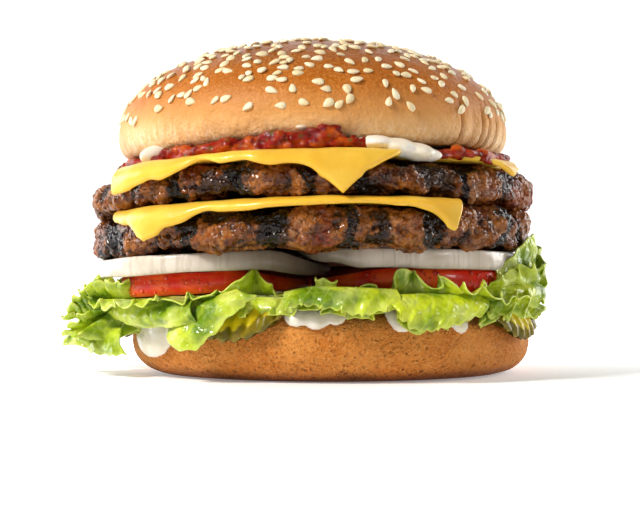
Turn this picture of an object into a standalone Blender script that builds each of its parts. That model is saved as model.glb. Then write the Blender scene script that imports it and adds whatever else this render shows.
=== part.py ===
"""A double cheeseburger, built layer by layer from the heel of the bun up to the seeded crown.

The origin is the centre of the heel's flat underside, +Z is up, and the side that faces -Y is the
one with the cheese corner. Azimuths are in degrees from that side, positive towards +X.
Every layer is first modelled on a straight stack, and slump() then lets the whole stack sag.
"""

import math
import random

import bmesh
import bpy
from mathutils import Matrix, Vector

MM = 0.001
TURN = 2 * math.pi
GAP = 0.3 * MM
SHARP_ANGLE = math.radians(40)

# Heel: the bottom half of the bun.
HEEL_TOP = 18.8 * MM
HEEL_RADIUS = 59 * MM
HEEL_FLAT_RADIUS = 47 * MM
HEEL_BELLY = 11 * MM
SHOULDER = 5 * MM
SHOULDER_START = HEEL_RADIUS - SHOULDER

# What lies on the heel, each given by how far it is lifted off the bun's skin.
SAUCE_RADIUS = 49 * MM
SAUCE_THICK = 0.5 * MM
PICKLE_RADIUS = 17 * MM
PICKLE_THICK = 2.0 * MM
PICKLE_LIFT = 2.55 * MM
CRINKLES = 8
CRINKLE_DEPTH = 0.4 * MM
PICKLES = {"pickle_left": (-94, 50 * MM), "pickle_front": (-27, 50 * MM), "pickle_right": (62, 49.5 * MM)}

# Lettuce: leaves in two layers, each a thin sheet whose free margin is ruffled.
LEAF_THICK = 0.6 * MM
LEAF_STEP_DEG = 4.9
UNDER_HEIGHT = 23.5 * MM
OVER_HEIGHT = 24.4 * MM

# Tomato and onion slices: x, y and radius in millimetres, and the azimuth of the slice's inner side.
TOMATO_BOTTOM = 25.0 * MM
TOMATO_TOP = 31.1 * MM
TOMATOES = {
    "tomato_left": (-33.8, -21, 27.4, 90),
    "tomato_right": (23.6, -19, 29.5, -90),
    "tomato_back": (-7, 30.5, 25.5, 0),
}
ONION_BOTTOM = 31.4 * MM
ONION_TOP = 36.6 * MM
ONIONS = {
    "onion_left": (-33.7, -19, 33.4, 90),
    "onion_right": (20.4, -19, 32.7, -90),
    "onion_back": (-6.5, 34, 25.6, 0),
}

# Patties and cheese slices.
PATTY_RIM = 5.6 * MM
PATTY_FULLNESS = 2.7
LOWER_PATTY = {"centre": -4.95 * MM, "radius": 65.3 * MM, "bottom": 37 * MM, "top": 47.9 * MM, "phase": 0.6}
UPPER_PATTY = {"centre": -6.75 * MM, "radius": 65 * MM, "bottom": 50.9 * MM, "top": 60.6 * MM, "phase": 2.1}
CHEESE_SIDE = 87.7 * MM
CHEESE_THICK = 2.0 * MM
CHEESE_FORWARD = 12.2 * MM
CHEESE_BOW = 3.4 * MM
CHEESE_STRETCH = 0.3
# Each slice: the heading of its middle line, how far the square is turned about its own middle, and how
# far its left corner has slid forward and sagged.
LOWER_CHEESE = {"patty": LOWER_PATTY, "heading": -4.5, "twist": 0, "slide": 0, "sag": 0}
UPPER_CHEESE = {"patty": UPPER_PATTY, "heading": 8, "twist": 45, "slide": 20 * MM, "sag": 0.45}

# Sauces under the crown.
RELISH_RADIUS = 56 * MM
RELISH_BOTTOM = 63.45 * MM
RELISH_TOP = 64.7 * MM
RELISH_RIM_TOP = 66.0 * MM
RELISH_RIM_START = 51.6 * MM
UPPER_SAUCE_BOTTOM = 65.0 * MM
UPPER_SAUCE_TOP = 65.9 * MM
UPPER_SAUCE_RADIUS = 45.5 * MM

# Crown: the seeded top half of the bun.
CROWN_CENTRE = -5.4 * MM
CROWN_RADIUS = 57.9 * MM
CROWN_BOTTOM = 66.4 * MM
CROWN_EQUATOR = 72.5 * MM
CROWN_APEX = 98.4 * MM
CROWN_CORNER = 4.5 * MM
CROWN_ROUNDNESS = 2.1
SEED_COUNT = 72
SEED_SIDES = 6
SEED_LENGTH = 3.3 * MM
SEED_WIDTH = 2.1 * MM
SEED_PROUD = 0.8 * MM
SEED_SUNK = 1.0 * MM

# Finishes: base colour and roughness.
HEEL_CRUST = ((0.55, 0.27, 0.09), 0.7)
CROWN_CRUST = ((0.55, 0.23, 0.06), 0.35)
MAYONNAISE = ((0.87, 0.84, 0.74), 0.25)
PICKLE = ((0.35, 0.36, 0.04), 0.3)
LETTUCE = ((0.25, 0.45, 0.05), 0.4)
TOMATO = ((0.6, 0.03, 0.01), 0.2)
ONION = ((0.82, 0.8, 0.72), 0.3)
BEEF = ((0.16, 0.07, 0.03), 0.5)
CHEESE = ((0.9, 0.5, 0.05), 0.35)
RELISH = ((0.42, 0.04, 0.01), 0.2)

# How far the stack has slumped, by height: sag of its left and right ends, and lean to the right.
SLUMP_HALF_WIDTH = 62 * MM
SLUMP = [
    (0.0, 0.0, 0.0),
    (18.8, 2.4, 0.0),
    (37.0, 2.2, 0.8),
    (48.0, 2.4, 0.9),
    (61.0, 3.2, 0.9),
    (66.0, 3.5, 0.3),
    (76.0, 3.0, 0.0),
    (99.0, 1.5, 0.0),
]


def blend(low, high, value):
    """0 below low, 1 above high, and a smooth step between."""
    t = min(max((value - low) / (high - low), 0.0), 1.0)
    return t * t * (3 - 2 * t)


def bump(value, centre, width):
    """A smooth hill of height 1 at centre that is gone at width to either side."""
    t = abs(value - centre) / width
    return 0.0 if t >= 1 else (1 - t * t) ** 2


def slump(point):
    """Where a point of the straight stack comes to lie once the burger has settled."""
    height = point.z / MM
    sag, lean = SLUMP[-1][1:]
    for (low, sag_low, lean_low), (high, sag_high, lean_high) in zip(SLUMP, SLUMP[1:]):
        if height <= high:
            share = max(0.0, (height - low) / (high - low))
            sag = sag_low + (sag_high - sag_low) * share
            lean = lean_low + (lean_high - lean_low) * share
            break
    across = point.x / SLUMP_HALF_WIDTH
    return Vector((point.x, point.y, point.z + (lean * across - sag * across * across) * MM))


def spot(azimuth, radius, height, centre=0.0):
    """The point at an azimuth in degrees and a radius from the layer's centre."""
    angle = math.radians(azimuth)
    return Vector((centre + radius * math.sin(angle), -radius * math.cos(angle), height))


def polar(point, centre=0.0):
    """Azimuth in degrees and radius of a point about the layer's centre."""
    return math.degrees(math.atan2(point.x - centre, -point.y)), math.hypot(point.x - centre, point.y)


def food(name, colour, roughness):
    """The plain finish of one piece."""
    material = bpy.data.materials.new(name)
    material.use_nodes = True
    shader = material.node_tree.nodes["Principled BSDF"]
    shader.inputs["Base Color"].default_value = (*colour, 1.0)
    shader.inputs["Roughness"].default_value = roughness
    return material


def add_solid(name, mesh_maker, finish, collection):
    """One object from a finished bmesh, with every point slumped and its faces pointing out."""
    for vertex in mesh_maker.verts:
        vertex.co = slump(vertex.co)
    bmesh.ops.recalc_face_normals(mesh_maker, faces=mesh_maker.faces[:])
    mesh = bpy.data.meshes.new(name)
    mesh_maker.to_mesh(mesh)
    mesh_maker.free()
    mesh.materials.append(food(name, *finish))
    mesh.shade_smooth()
    mesh.set_sharp_from_angle(angle=SHARP_ANGLE)
    obj = bpy.data.objects.new(name, mesh)
    collection.objects.link(obj)
    return obj


def turned(profile, sides):
    """A solid of revolution. The profile runs from the middle of the top to the middle of the underside."""
    bm = bmesh.new()
    points = [bm.verts.new((radius, 0, height)) for radius, height in profile]
    edges = [bm.edges.new(pair) for pair in zip(points, points[1:])]
    bmesh.ops.spin(
        bm, geom=points + edges, cent=(0, 0, 0), axis=(0, 0, 1), angle=TURN, steps=sides, use_merge=True
    )
    bmesh.ops.remove_doubles(bm, verts=bm.verts[:], dist=1e-6)
    return bm


def slab_profile(radius, bottom, top, rim, faces=3, rim_steps=6, fullness=2.0):
    """The profile of a flat round slice whose side bulges out by rim, in a half ellipse or a fuller curve."""
    inner = radius - rim
    half = (top - bottom) / 2
    rings = [inner * (i / faces) ** 0.7 for i in range(faces)]
    profile = [(ring, top) for ring in rings]
    for i in range(rim_steps + 1):
        angle = math.pi * i / rim_steps
        out = math.sin(angle) ** (2 / fullness) if 0 < i < rim_steps else 0.0
        rise = math.copysign(abs(math.cos(angle)) ** (2 / fullness), math.cos(angle))
        profile.append((inner + rim * out, bottom + half + half * rise))
    profile += [(ring, bottom) for ring in reversed(rings)]
    return profile


def over_heel(reach, lift, fold=7 * MM):
    """Radius and height of a point that lies reach out from the axis, measured along the heel's skin."""
    beyond = max(0.0, reach - SHOULDER_START)
    bend = min(beyond / fold, math.pi / 2)
    radius = min(reach, SHOULDER_START) + (SHOULDER + lift) * math.sin(bend)
    height = HEEL_TOP - SHOULDER + (SHOULDER + lift) * math.cos(bend) - max(0.0, beyond - fold * math.pi / 2)
    return radius, height


def heel_profile():
    """The heel's outline: a flat base, a rounded belly and a rounded top edge."""
    steps = 4
    profile = [(0.0, HEEL_TOP), (SHOULDER_START / 2, HEEL_TOP)]
    for i in range(steps + 1):
        angle = math.pi / 2 * i / steps
        height = HEEL_TOP - SHOULDER + SHOULDER * math.cos(angle)
        profile.append((SHOULDER_START + SHOULDER * math.sin(angle), height))
    for i in range(1, steps + 1):
        drop = 1 - math.cos(math.pi / 2 * i / (steps + 1))
        belly = (1 - drop**2.1) ** (1 / 2.1)
        profile.append((HEEL_FLAT_RADIUS + (HEEL_RADIUS - HEEL_FLAT_RADIUS) * belly, HEEL_BELLY * (1 - drop)))
    profile += [(HEEL_FLAT_RADIUS, 0.0), (0.0, 0.0)]
    return profile


def drop_shape(sides, rings):
    """A ball with its poles at both ends of X, as the start of a drop of sauce."""
    bm = bmesh.new()
    bmesh.ops.create_uvsphere(bm, u_segments=sides, v_segments=rings, radius=1.0)
    for vertex in bm.verts:
        blunt = (1 - vertex.co.z**2 + 1e-9) ** -0.18 if abs(vertex.co.z) < 0.999 else 1.0
        vertex.co = Vector((vertex.co.z, vertex.co.x * blunt, vertex.co.y * blunt))
    return bm


def lower_drop(azimuth, reach, along, across, proud):
    """A drop of sauce that follows the heel's skin, its long way running down over the edge."""
    bm = drop_shape(6, 5)
    for vertex in bm.verts:
        x, y, z = vertex.co
        turn = math.degrees(y * across / HEEL_RADIUS)
        away = reach + x * along
        under = 2 * GAP + 0.4 * MM * bump(away, 60 * MM, 7 * MM)
        vertex.co = spot(azimuth + turn, *over_heel(away, under + max(0.0, z) * proud))
    return bm


def fuse(base, pieces, operation="UNION", solver="EXACT"):
    """Joins the pieces to the base, or cuts them from it, in one Boolean that is then applied."""
    tools = bpy.data.collections.new("tools")
    bpy.context.scene.collection.children.link(tools)
    for number, piece in enumerate(pieces):
        mesh = bpy.data.meshes.new(f"tool_{number}")
        bmesh.ops.recalc_face_normals(piece, faces=piece.faces[:])
        piece.to_mesh(mesh)
        piece.free()
        tools.objects.link(bpy.data.objects.new(mesh.name, mesh))
    bmesh.ops.recalc_face_normals(base, faces=base.faces[:])
    mesh = bpy.data.meshes.new("fused")
    base.to_mesh(mesh)
    base.free()
    body = bpy.data.objects.new("fused", mesh)
    bpy.context.scene.collection.objects.link(body)
    modifier = body.modifiers.new("fuse", "BOOLEAN")
    modifier.operand_type = "COLLECTION"
    modifier.collection = tools
    modifier.operation = operation
    modifier.solver = solver
    bpy.context.view_layer.update()
    result = bmesh.new()
    result.from_object(body, bpy.context.evaluated_depsgraph_get())
    bpy.data.objects.remove(body)
    for tool in list(tools.objects):
        bpy.data.objects.remove(tool)
    bpy.data.collections.remove(tools)
    return result


def largest_part(bm):
    """Drops loose scraps, so that only the biggest connected piece stays."""
    left = set(bm.verts)
    groups = []
    while left:
        group = set()
        edge = [left.pop()]
        while edge:
            vertex = edge.pop()
            group.add(vertex)
            for link in vertex.link_edges:
                other = link.other_vert(vertex)
                if other in left:
                    left.discard(other)
                    edge.append(other)
        groups.append(group)
    groups.sort(key=len, reverse=True)
    scraps = [vertex for group in groups[1:] for vertex in group]
    bmesh.ops.delete(bm, geom=scraps, context="VERTS")
    return bm


def make_heel(collection):
    add_solid("bun_heel", turned(heel_profile(), 32), HEEL_CRUST, collection)


# Drops of mayonnaise at the heel's edge: azimuth, reach, half length, half width, how proud, in millimetres.
LOWER_DROPS = [
    (-66, 56.5, 9.5, 5.0, 2.2),
    (-53, 55.5, 8.5, 3.0, 1.8),
    (-5.2, 57.5, 10.0, 3.6, 2.4),
    (1.5, 56.5, 9.2, 3.6, 2.0),
    (21.5, 58.0, 10.4, 4.2, 2.4),
    (35.5, 56.5, 9.2, 3.0, 1.9),
    (148, 57.0, 9.8, 4.6, 2.3),
]


def make_lower_mayonnaise(collection):
    """A thin spread on the heel that runs out over the edge in drops."""
    bottom = HEEL_TOP + GAP
    spread = turned(slab_profile(SAUCE_RADIUS, bottom, bottom + SAUCE_THICK, 0.3 * MM, 2, 2), 24)
    drops = [lower_drop(azimuth, *[size * MM for size in sizes]) for azimuth, *sizes in LOWER_DROPS]
    add_solid("mayonnaise_lower", largest_part(fuse(spread, drops)), MAYONNAISE, collection)


def add_sheet(name, bm, thickness, finish, collection):
    """A closed sheet of even thickness about a surface, with both faces split into triangles alike."""
    bmesh.ops.triangulate(bm, faces=bm.faces[:])
    obj = add_solid(name, bm, finish, collection)
    solid = obj.modifiers.new("thickness", "SOLIDIFY")
    solid.thickness = thickness
    solid.offset = 0.0
    return obj


def grid(columns, rows):
    """A flat sheet of the given number of cells, with u and v from 0 to 1 as its x and y."""
    bm = bmesh.new()
    bmesh.ops.create_grid(bm, x_segments=columns, y_segments=rows, size=0.5)
    bmesh.ops.translate(bm, verts=bm.verts[:], vec=(0.5, 0.5, 0))
    return bm


def make_pickle(name, azimuth, distance, collection):
    """A crinkle-cut slice, bent over the heel's edge."""
    rows = 4
    bm = grid(2 * CRINKLES, rows)
    angle = math.radians(azimuth)
    out = Vector((math.sin(angle), -math.cos(angle), 0))
    side = Vector((math.cos(angle), math.sin(angle), 0))
    for vertex in bm.verts:
        along = 0.985 * PICKLE_RADIUS * (2 * vertex.co.x - 1)
        chord = math.sqrt(PICKLE_RADIUS**2 - along**2)
        # The first row of cells lies flat, and the others share the stretch that bends.
        knee = min(math.sqrt(SHOULDER_START**2 - along**2), distance + 0.2 * chord)
        row = round(vertex.co.y * rows)
        away = knee + (distance + chord - knee) * (row - 1) / (rows - 1) if row else distance - chord
        flat = out * away + side * along
        wave = CRINKLE_DEPTH * math.cos(TURN * CRINKLES * vertex.co.x)
        flat_azimuth, reach = polar(flat)
        vertex.co = spot(flat_azimuth, *over_heel(reach, PICKLE_LIFT + wave))
    add_sheet(name, bm, PICKLE_THICK, PICKLE, collection)


def slice_reach(azimuth, slices):
    """How far out from the stack's axis the slices reach at an azimuth."""
    angle = math.radians(azimuth)
    out = (math.sin(angle), -math.cos(angle))
    reach = 0.0
    for x, y, radius, _ in slices.values():
        middle = x * out[0] + y * out[1]
        off = x * out[1] - y * out[0]
        if abs(off) < radius:
            reach = max(reach, middle + math.sqrt(radius * radius - off * off))
    return reach * MM


# Leaves: layer, first and last azimuth, number of ruffles, phase of the ruffles in turns.
LEAVES = {
    "lettuce_under_left": ("under", -140, -37, 6.0, 0.10),
    "lettuce_under_front": ("under", -33, 50, 5.0, 0.55),
    "lettuce_under_back": ("under", 54, 216, 9.0, 0.30),
    "lettuce_over_left": ("over", -120, -14, 6.5, 0.70),
    "lettuce_over_front": ("over", -9, 62, 5.0, 0.15),
    "lettuce_over_right": ("tall", 66, 122, 3.0, 0.60),
    "lettuce_over_back": ("over", 127, 235, 7.0, 0.45),
}


def under_margin(azimuth, ruffle):
    """Start, heading in degrees and length of the free margin of a leaf that hangs over the heel."""
    left = bump(azimuth, -84, 42)
    right = bump(azimuth, 82, 36)
    apron = bump(azimuth, -46, 16)
    start = SHOULDER_START + (6.5 * left + 1.5 * left * ruffle + 2.5 * apron) * MM
    heading = max(-96, -66 + 28 * ruffle - 10 * left - 18 * right - 12 * apron)
    length = (14 + 3 * ruffle + 6 * left - 3.5 * right + 6 * apron) * MM
    return start, heading, length, 14 * MM


def over_margin(azimuth, ruffle):
    """Start, heading in degrees and length of the free margin of a leaf that stands up round the slices."""
    left = bump(azimuth, -92, 34)
    start = max(50 * MM, slice_reach(azimuth, TOMATOES) + 1.4 * MM)
    heading = 36 - 22 * left + (34 - 18 * left) * ruffle
    length = (6.4 + 1.0 * ruffle + 6.5 * left) * MM
    return start, heading, length, 5 * MM


def tall_margin(azimuth, ruffle):
    """The same for the leaf that stands up outside the onion and the patty."""
    middle = bump(azimuth, 90, 34)
    start = max(53.7 * MM, slice_reach(azimuth, TOMATOES) + 1.4 * MM)
    heading = 62 + 20 * middle + 16 * ruffle
    length = (9 + 12.5 * middle + 1.2 * ruffle) * MM
    return start, heading, length, 13 * MM


LAYERS = {
    "under": (4, UNDER_HEIGHT, under_margin),
    "over": (3, OVER_HEIGHT, over_margin),
    "tall": (5, OVER_HEIGHT, tall_margin),
}


def make_leaf(name, layer, first, last, ruffles, phase, collection):
    """A thin leaf that lies flat under the tomato and ends in a ruffled free margin."""
    columns = round((last - first) / LEAF_STEP_DEG)
    rows, height, margin = LAYERS[layer]
    bm = grid(columns, rows)
    for vertex in bm.verts:
        share = vertex.co.x
        azimuth = first + (last - first) * share
        ruffle = math.sin(TURN * (ruffles * share + phase))
        ends = min(1.0, 0.35 + 4.2 * min(share, 1 - share))
        start, heading, length, curve = margin(azimuth, ruffle * ends)
        row = round(vertex.co.y * rows)
        radius, level = start - 10 * MM, height
        if row > 0:
            radius = start
        step = length * ends / (rows - 1)
        for i in range(1, row):
            turn = math.radians(heading) * min(1.0, (i - 0.5) * step / curve)
            radius += step * math.cos(turn)
            level += step * math.sin(turn)
        vertex.co = spot(azimuth, radius, level)
    add_sheet(name, bm, LEAF_THICK, LETTUCE, collection)


def make_tomato(name, x, y, radius, inner, collection):
    """A slice that is a little thinner where it meets its neighbour."""
    bm = turned(slab_profile(radius * MM, TOMATO_BOTTOM, TOMATO_TOP, 1.6 * MM, 2, 4), 20)
    for vertex in bm.verts:
        inward = vertex.co.dot(spot(inner, 1, 0)) / (radius * MM)
        share = (vertex.co.z - TOMATO_BOTTOM) / (TOMATO_TOP - TOMATO_BOTTOM)
        vertex.co.z -= 3.0 * MM * blend(0.2, 1.0, inward) * share
        vertex.co += Vector((x, y, 0)) * MM
    add_solid(name, bm, TOMATO, collection)


def make_onion(name, x, y, radius, inner, collection):
    """A slice whose inner edge is thin: the left one dips there, and the right one lies on it as a wedge."""
    bm = turned(slab_profile(radius * MM, ONION_BOTTOM, ONION_TOP, 0.9 * MM, 3, 3), 22)
    for vertex in bm.verts:
        place = vertex.co + Vector((x, y, 0)) * MM
        share = (place.z - ONION_BOTTOM) / (ONION_TOP - ONION_BOTTOM)
        crossing = 4.2 * MM * blend(-18 * MM, -1 * MM, place.x)
        if inner > 0:
            place.z -= share * crossing + (1 - share) * 2.2 * MM * blend(-22 * MM, -6 * MM, place.x)
        elif inner < 0:
            wedge = 5.8 * MM - crossing if place.x < 0 else 1.6 * MM * (1 - blend(0, 8 * MM, place.x))
            place.z += (1 - share) * min(wedge, 4.6 * MM)
        vertex.co = place
    add_solid(name, bm, ONION, collection)


def patty_edge(patty, azimuth):
    """The uneven outline of a patty, as a radius."""
    angle = math.radians(azimuth)
    phase = patty["phase"]
    waves = 0.7 * math.sin(3 * angle + phase) + 0.5 * math.sin(7 * angle + 2 * phase)
    waves += 0.35 * math.sin(11 * angle + 5 * phase)
    return patty["radius"] + waves * MM


def patty_swell(patty, azimuth):
    """How much thicker the rim is, above and below: less where a corner of cheese presses on it."""
    if patty is LOWER_PATTY:
        above = 0.5 * bump(azimuth, -88, 30) - 0.4 * bump(azimuth, -46, 16) - 0.4 * bump(azimuth, 34, 16)
        return above * MM, 0.0
    above = 1.1 * bump(azimuth, -125, 38) + 0.8 * bump(azimuth, 132, 40) - 1.9 * bump(azimuth, 3, 26)
    above -= 1.7 * bump(azimuth, -53, 30)
    below = 2.0 * bump(azimuth, 88, 30) + 1.2 * bump(azimuth, -90, 24) + 1.8 * bump(abs(azimuth), 180, 26)
    return above * MM, below * MM


def make_patty(name, patty, collection):
    """A thick uneven disc of minced beef."""
    profile = slab_profile(patty["radius"], patty["bottom"], patty["top"], PATTY_RIM, 3, 5, PATTY_FULLNESS)
    bm = turned(profile, 32)
    middle = (patty["bottom"] + patty["top"]) / 2
    for vertex in bm.verts:
        azimuth, radius = polar(vertex.co)
        edge = blend(0.55, 0.9, radius / patty["radius"])
        stretched = radius * (1 + edge * (patty_edge(patty, azimuth) / patty["radius"] - 1))
        angle = math.radians(azimuth)
        pinch = 0.04 * math.sin(9 * angle + patty["phase"]) + 0.03 * math.sin(5 * angle)
        level = (vertex.co.z - middle) * (1 - edge * (0.02 + abs(pinch)))
        above, below = patty_swell(patty, azimuth)
        rim = blend(patty["radius"] - 15 * MM, patty["radius"] - PATTY_RIM, radius)
        level += (above if level > 0 else -below) * min(1.0, abs(level) / (3 * MM)) * rim
        vertex.co = spot(azimuth, stretched, middle + level, patty["centre"])
    add_solid(name, bm, BEEF, collection)


def over_patty(patty, azimuth, reach, lift):
    """Radius and height of a point that lies reach out from a patty's axis, measured along its skin."""
    half = (patty["top"] - patty["bottom"]) / 2
    start = patty_edge(patty, azimuth) - PATTY_RIM
    beyond = max(0.0, reach - start)
    fold = 7.2 * MM
    bend = min(beyond / fold, math.pi / 2)
    rest = max(0.0, beyond - fold * math.pi / 2)
    full = 2 / PATTY_FULLNESS
    radius = min(reach, start) + (PATTY_RIM + 0.4 * MM + lift) * math.sin(bend) ** full
    height = patty["top"] - half + (half + lift) * max(0.0, math.cos(bend)) ** full - rest
    return radius, height


def make_cheese(name, slice_form, collection):
    """A square slice, soft from the heat, whose front corners droop over the patty's edge."""
    patty = slice_form["patty"]
    cells = 10
    bm = grid(cells, cells)
    # The cells are narrowest towards the slice's sides, where it bends.
    spacing = 1.25
    for vertex in bm.verts:
        across = [math.sin(spacing * (2 * share - 1)) / math.sin(spacing) for share in vertex.co.xy]
        # The sides bow out a little and the corners are rounded.
        x, y = [
            share * (CHEESE_SIDE / 2 + CHEESE_BOW * (1 - other**2) - 1.2 * MM * other**8)
            for share, other in (across, reversed(across))
        ]
        flat = Vector((x, y, 0))
        flat.rotate(Matrix.Rotation(math.radians(slice_form["twist"]), 3, "Z"))
        tip = blend(0.15 * CHEESE_SIDE, 0.7 * CHEESE_SIDE, -flat.x)
        flat.x += 0.2 * slice_form["slide"] * tip
        flat.y -= CHEESE_FORWARD + slice_form["slide"] * tip
        flat.rotate(Matrix.Rotation(math.radians(slice_form["heading"]), 3, "Z"))
        azimuth, reach = polar(flat)
        edge = patty_edge(patty, azimuth) - PATTY_RIM
        lift = CHEESE_THICK / 2 + GAP + 1.8 * MM * blend(edge - 1 * MM, edge + 6 * MM, reach)
        reach += (CHEESE_STRETCH + slice_form["sag"] * tip) * max(0.0, reach - edge)
        vertex.co = spot(azimuth, *over_patty(patty, azimuth, reach, lift), patty["centre"])
    add_sheet(name, bm, CHEESE_THICK, CHEESE, collection)


# Drops of mayonnaise pressed out under the crown: azimuth, how far out, height, half width, half height.
UPPER_DROPS = [
    (-52, 60.2, 64.5, 4.2, 2.1),
    (24, 60.0, 64.9, 5.4, 1.65),
    (33, 60.2, 64.8, 5.4, 1.65),
    (-4, 58.2, 65.2, 2.4, 0.9),
    (100, 59.6, 64.6, 6.0, 2.0),
    (-150, 59.8, 64.6, 6.0, 2.0),
]
DROP_INNER = 41 * MM


def upper_drop(azimuth, out, height, wide, tall):
    """One drop: a thin neck under the crown that swells into a rounded end."""
    bm = drop_shape(6, 5)
    neck = (UPPER_SAUCE_TOP + UPPER_SAUCE_BOTTOM) / 2
    for vertex in bm.verts:
        x, y, z = vertex.co
        radius = DROP_INNER + (out * MM - DROP_INNER) * (x + 1) / 2
        swell = blend(-0.1, 0.6, x)
        level = neck + (height * MM - neck) * swell + z * (0.4 + (tall - 0.4) * swell) * MM
        turn = math.degrees(y * wide * MM / radius)
        vertex.co = spot(azimuth + turn, radius, level, CROWN_CENTRE)
    return bm


def relish_notch(azimuth):
    """1 where a drop of mayonnaise has pushed the relish aside, 0 away from the drops."""
    notch = 0.0
    for drop in UPPER_DROPS:
        away = abs((azimuth - drop[0] + 180) % 360 - 180) - math.degrees(drop[3] / drop[1])
        notch = max(notch, 1 - blend(5, 12, away))
    return notch


def relish_edge(azimuth):
    """The uneven outline of the ketchup and relish."""
    angle = math.radians(azimuth)
    waves = 0.9 * math.sin(5 * angle + 0.4) + 0.6 * math.sin(9 * angle + 1.3)
    return RELISH_RADIUS + (waves + 2.0 * bump(azimuth, 6, 9)) * MM


def make_relish(collection):
    """Ketchup and relish, thickest at the rim, where the pressed-out mayonnaise interrupts it."""
    half = (RELISH_RIM_TOP - RELISH_BOTTOM) / 2
    bulge = 1.4 * MM
    profile = [(0, RELISH_TOP), (RELISH_RIM_START / 2, RELISH_TOP)]
    profile += [(RELISH_RIM_START - 1 * MM, RELISH_TOP), (RELISH_RIM_START + 0.4 * MM, RELISH_RIM_TOP)]
    for i in range(1, 4):
        angle = math.pi * i / 4
        radius = RELISH_RADIUS - bulge + bulge * math.sin(angle)
        profile.append((radius, RELISH_RIM_TOP - half + half * math.cos(angle)))
    profile += [(radius, RELISH_BOTTOM) for radius in (RELISH_RADIUS - 2 * MM, RELISH_RADIUS / 2, 0)]
    bm = turned(profile, 44)
    for vertex in bm.verts:
        azimuth, radius = polar(vertex.co)
        notch = relish_notch(azimuth)
        pull = (relish_edge(azimuth) - 8.4 * MM * notch) / RELISH_RADIUS - 1
        radius *= 1 + pull * blend(30 * MM, 54 * MM, radius)
        level = vertex.co.z - max(0.0, vertex.co.z - RELISH_TOP) * min(1.0, 3 * notch)
        vertex.co = spot(azimuth, radius, level, CROWN_CENTRE)
    add_solid("relish", bm, RELISH, collection)


def make_upper_mayonnaise(collection):
    """Mayonnaise under the crown: a thin spread with drops pressed out at its edge."""
    profile = slab_profile(UPPER_SAUCE_RADIUS, UPPER_SAUCE_BOTTOM, UPPER_SAUCE_TOP, 0.4 * MM, 2, 2)
    spread = turned(profile, 24)
    bmesh.ops.translate(spread, verts=spread.verts[:], vec=(CROWN_CENTRE, 0, 0))
    whole = fuse(spread, [upper_drop(*drop) for drop in UPPER_DROPS])
    add_solid("mayonnaise_upper", largest_part(whole), MAYONNAISE, collection)


def crown_skin(azimuth, climb):
    """A point on the crown's domed skin: climb runs from 0 at the widest ring to 1 at the top."""
    power = 2 / CROWN_ROUNDNESS
    angle = climb * math.pi / 2
    radius = CROWN_RADIUS * math.cos(angle) ** power if climb < 1 else 0.0
    height = CROWN_EQUATOR + (CROWN_APEX - CROWN_EQUATOR) * math.sin(angle) ** power
    return spot(azimuth, radius, height, CROWN_CENTRE)


def crown_profile():
    """The crown's outline: dome, rounded lower corner and flat cut face."""
    rings = 9
    profile = []
    for i in reversed(range(rings + 1)):
        point = crown_skin(90, i / rings)
        profile.append((max(0.0, point.x - CROWN_CENTRE), point.z))
    drop = CROWN_EQUATOR - CROWN_BOTTOM
    for i in range(1, 4):
        angle = math.pi / 2 * i / 3
        radius = CROWN_RADIUS - CROWN_CORNER * (1 - math.cos(angle))
        profile.append((radius, CROWN_EQUATOR - drop * math.sin(angle)))
    profile += [(CROWN_RADIUS / 2, CROWN_BOTTOM), (0.0, CROWN_BOTTOM)]
    return profile


def seed_places():
    """Azimuth, climb, turn and size of each sesame seed: dense on top, sparse low down, often in pairs."""
    draw = random.Random(11)
    places = []
    spots = []
    while len(places) < SEED_COUNT:
        climb = draw.uniform(0.05, 1.0)
        azimuth = draw.uniform(-180, 180)
        point = crown_skin(azimuth, climb)
        share = (point - Vector((CROWN_CENTRE, 0, 0))).xy.length / CROWN_RADIUS
        density = (0.35 + 0.65 * blend(0.1, 0.45, climb)) * max(0.12, share)
        if draw.random() > density:
            continue
        near = min(((point - other).length for other in spots), default=1.0)
        pair = draw.random() < 0.2
        if near < (1.9 if pair else 4.0) * MM:
            continue
        spots.append(point)
        places.append((azimuth, climb, draw.uniform(0, 360), draw.uniform(0.86, 1.12)))
    return places


def seed(azimuth, climb, turn, size):
    """One sesame seed, a flattened teardrop half sunk in the glaze."""
    bm = bmesh.new()
    bmesh.ops.create_cone(
        bm, cap_ends=True, segments=SEED_SIDES, radius1=0.58, radius2=0.36, depth=SEED_PROUD + SEED_SUNK
    )
    here = crown_skin(azimuth, climb)
    east = (crown_skin(azimuth + 1, climb) - here).normalized()
    north = (crown_skin(azimuth, min(1.0, climb + 0.01)) - here).normalized()
    up = east.cross(north).normalized()
    spin = Matrix.Rotation(math.radians(turn), 3, up)
    along, across = spin @ east, spin @ up.cross(east)
    for vertex in bm.verts:
        taper = 1 - 0.55 * vertex.co.x
        flat = along * vertex.co.x * SEED_LENGTH + across * vertex.co.y * SEED_WIDTH * taper
        vertex.co = here + size * flat + up * (vertex.co.z + (SEED_PROUD - SEED_SUNK) / 2)
    return bm


def make_crown(collection):
    """The domed top half of the bun with its sesame seeds."""
    dome = turned(crown_profile(), 36)
    bmesh.ops.translate(dome, verts=dome.verts[:], vec=(CROWN_CENTRE, 0, 0))
    whole = fuse(dome, [seed(*place) for place in seed_places()])
    add_solid("bun_crown", largest_part(whole), CROWN_CRUST, collection)


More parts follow.
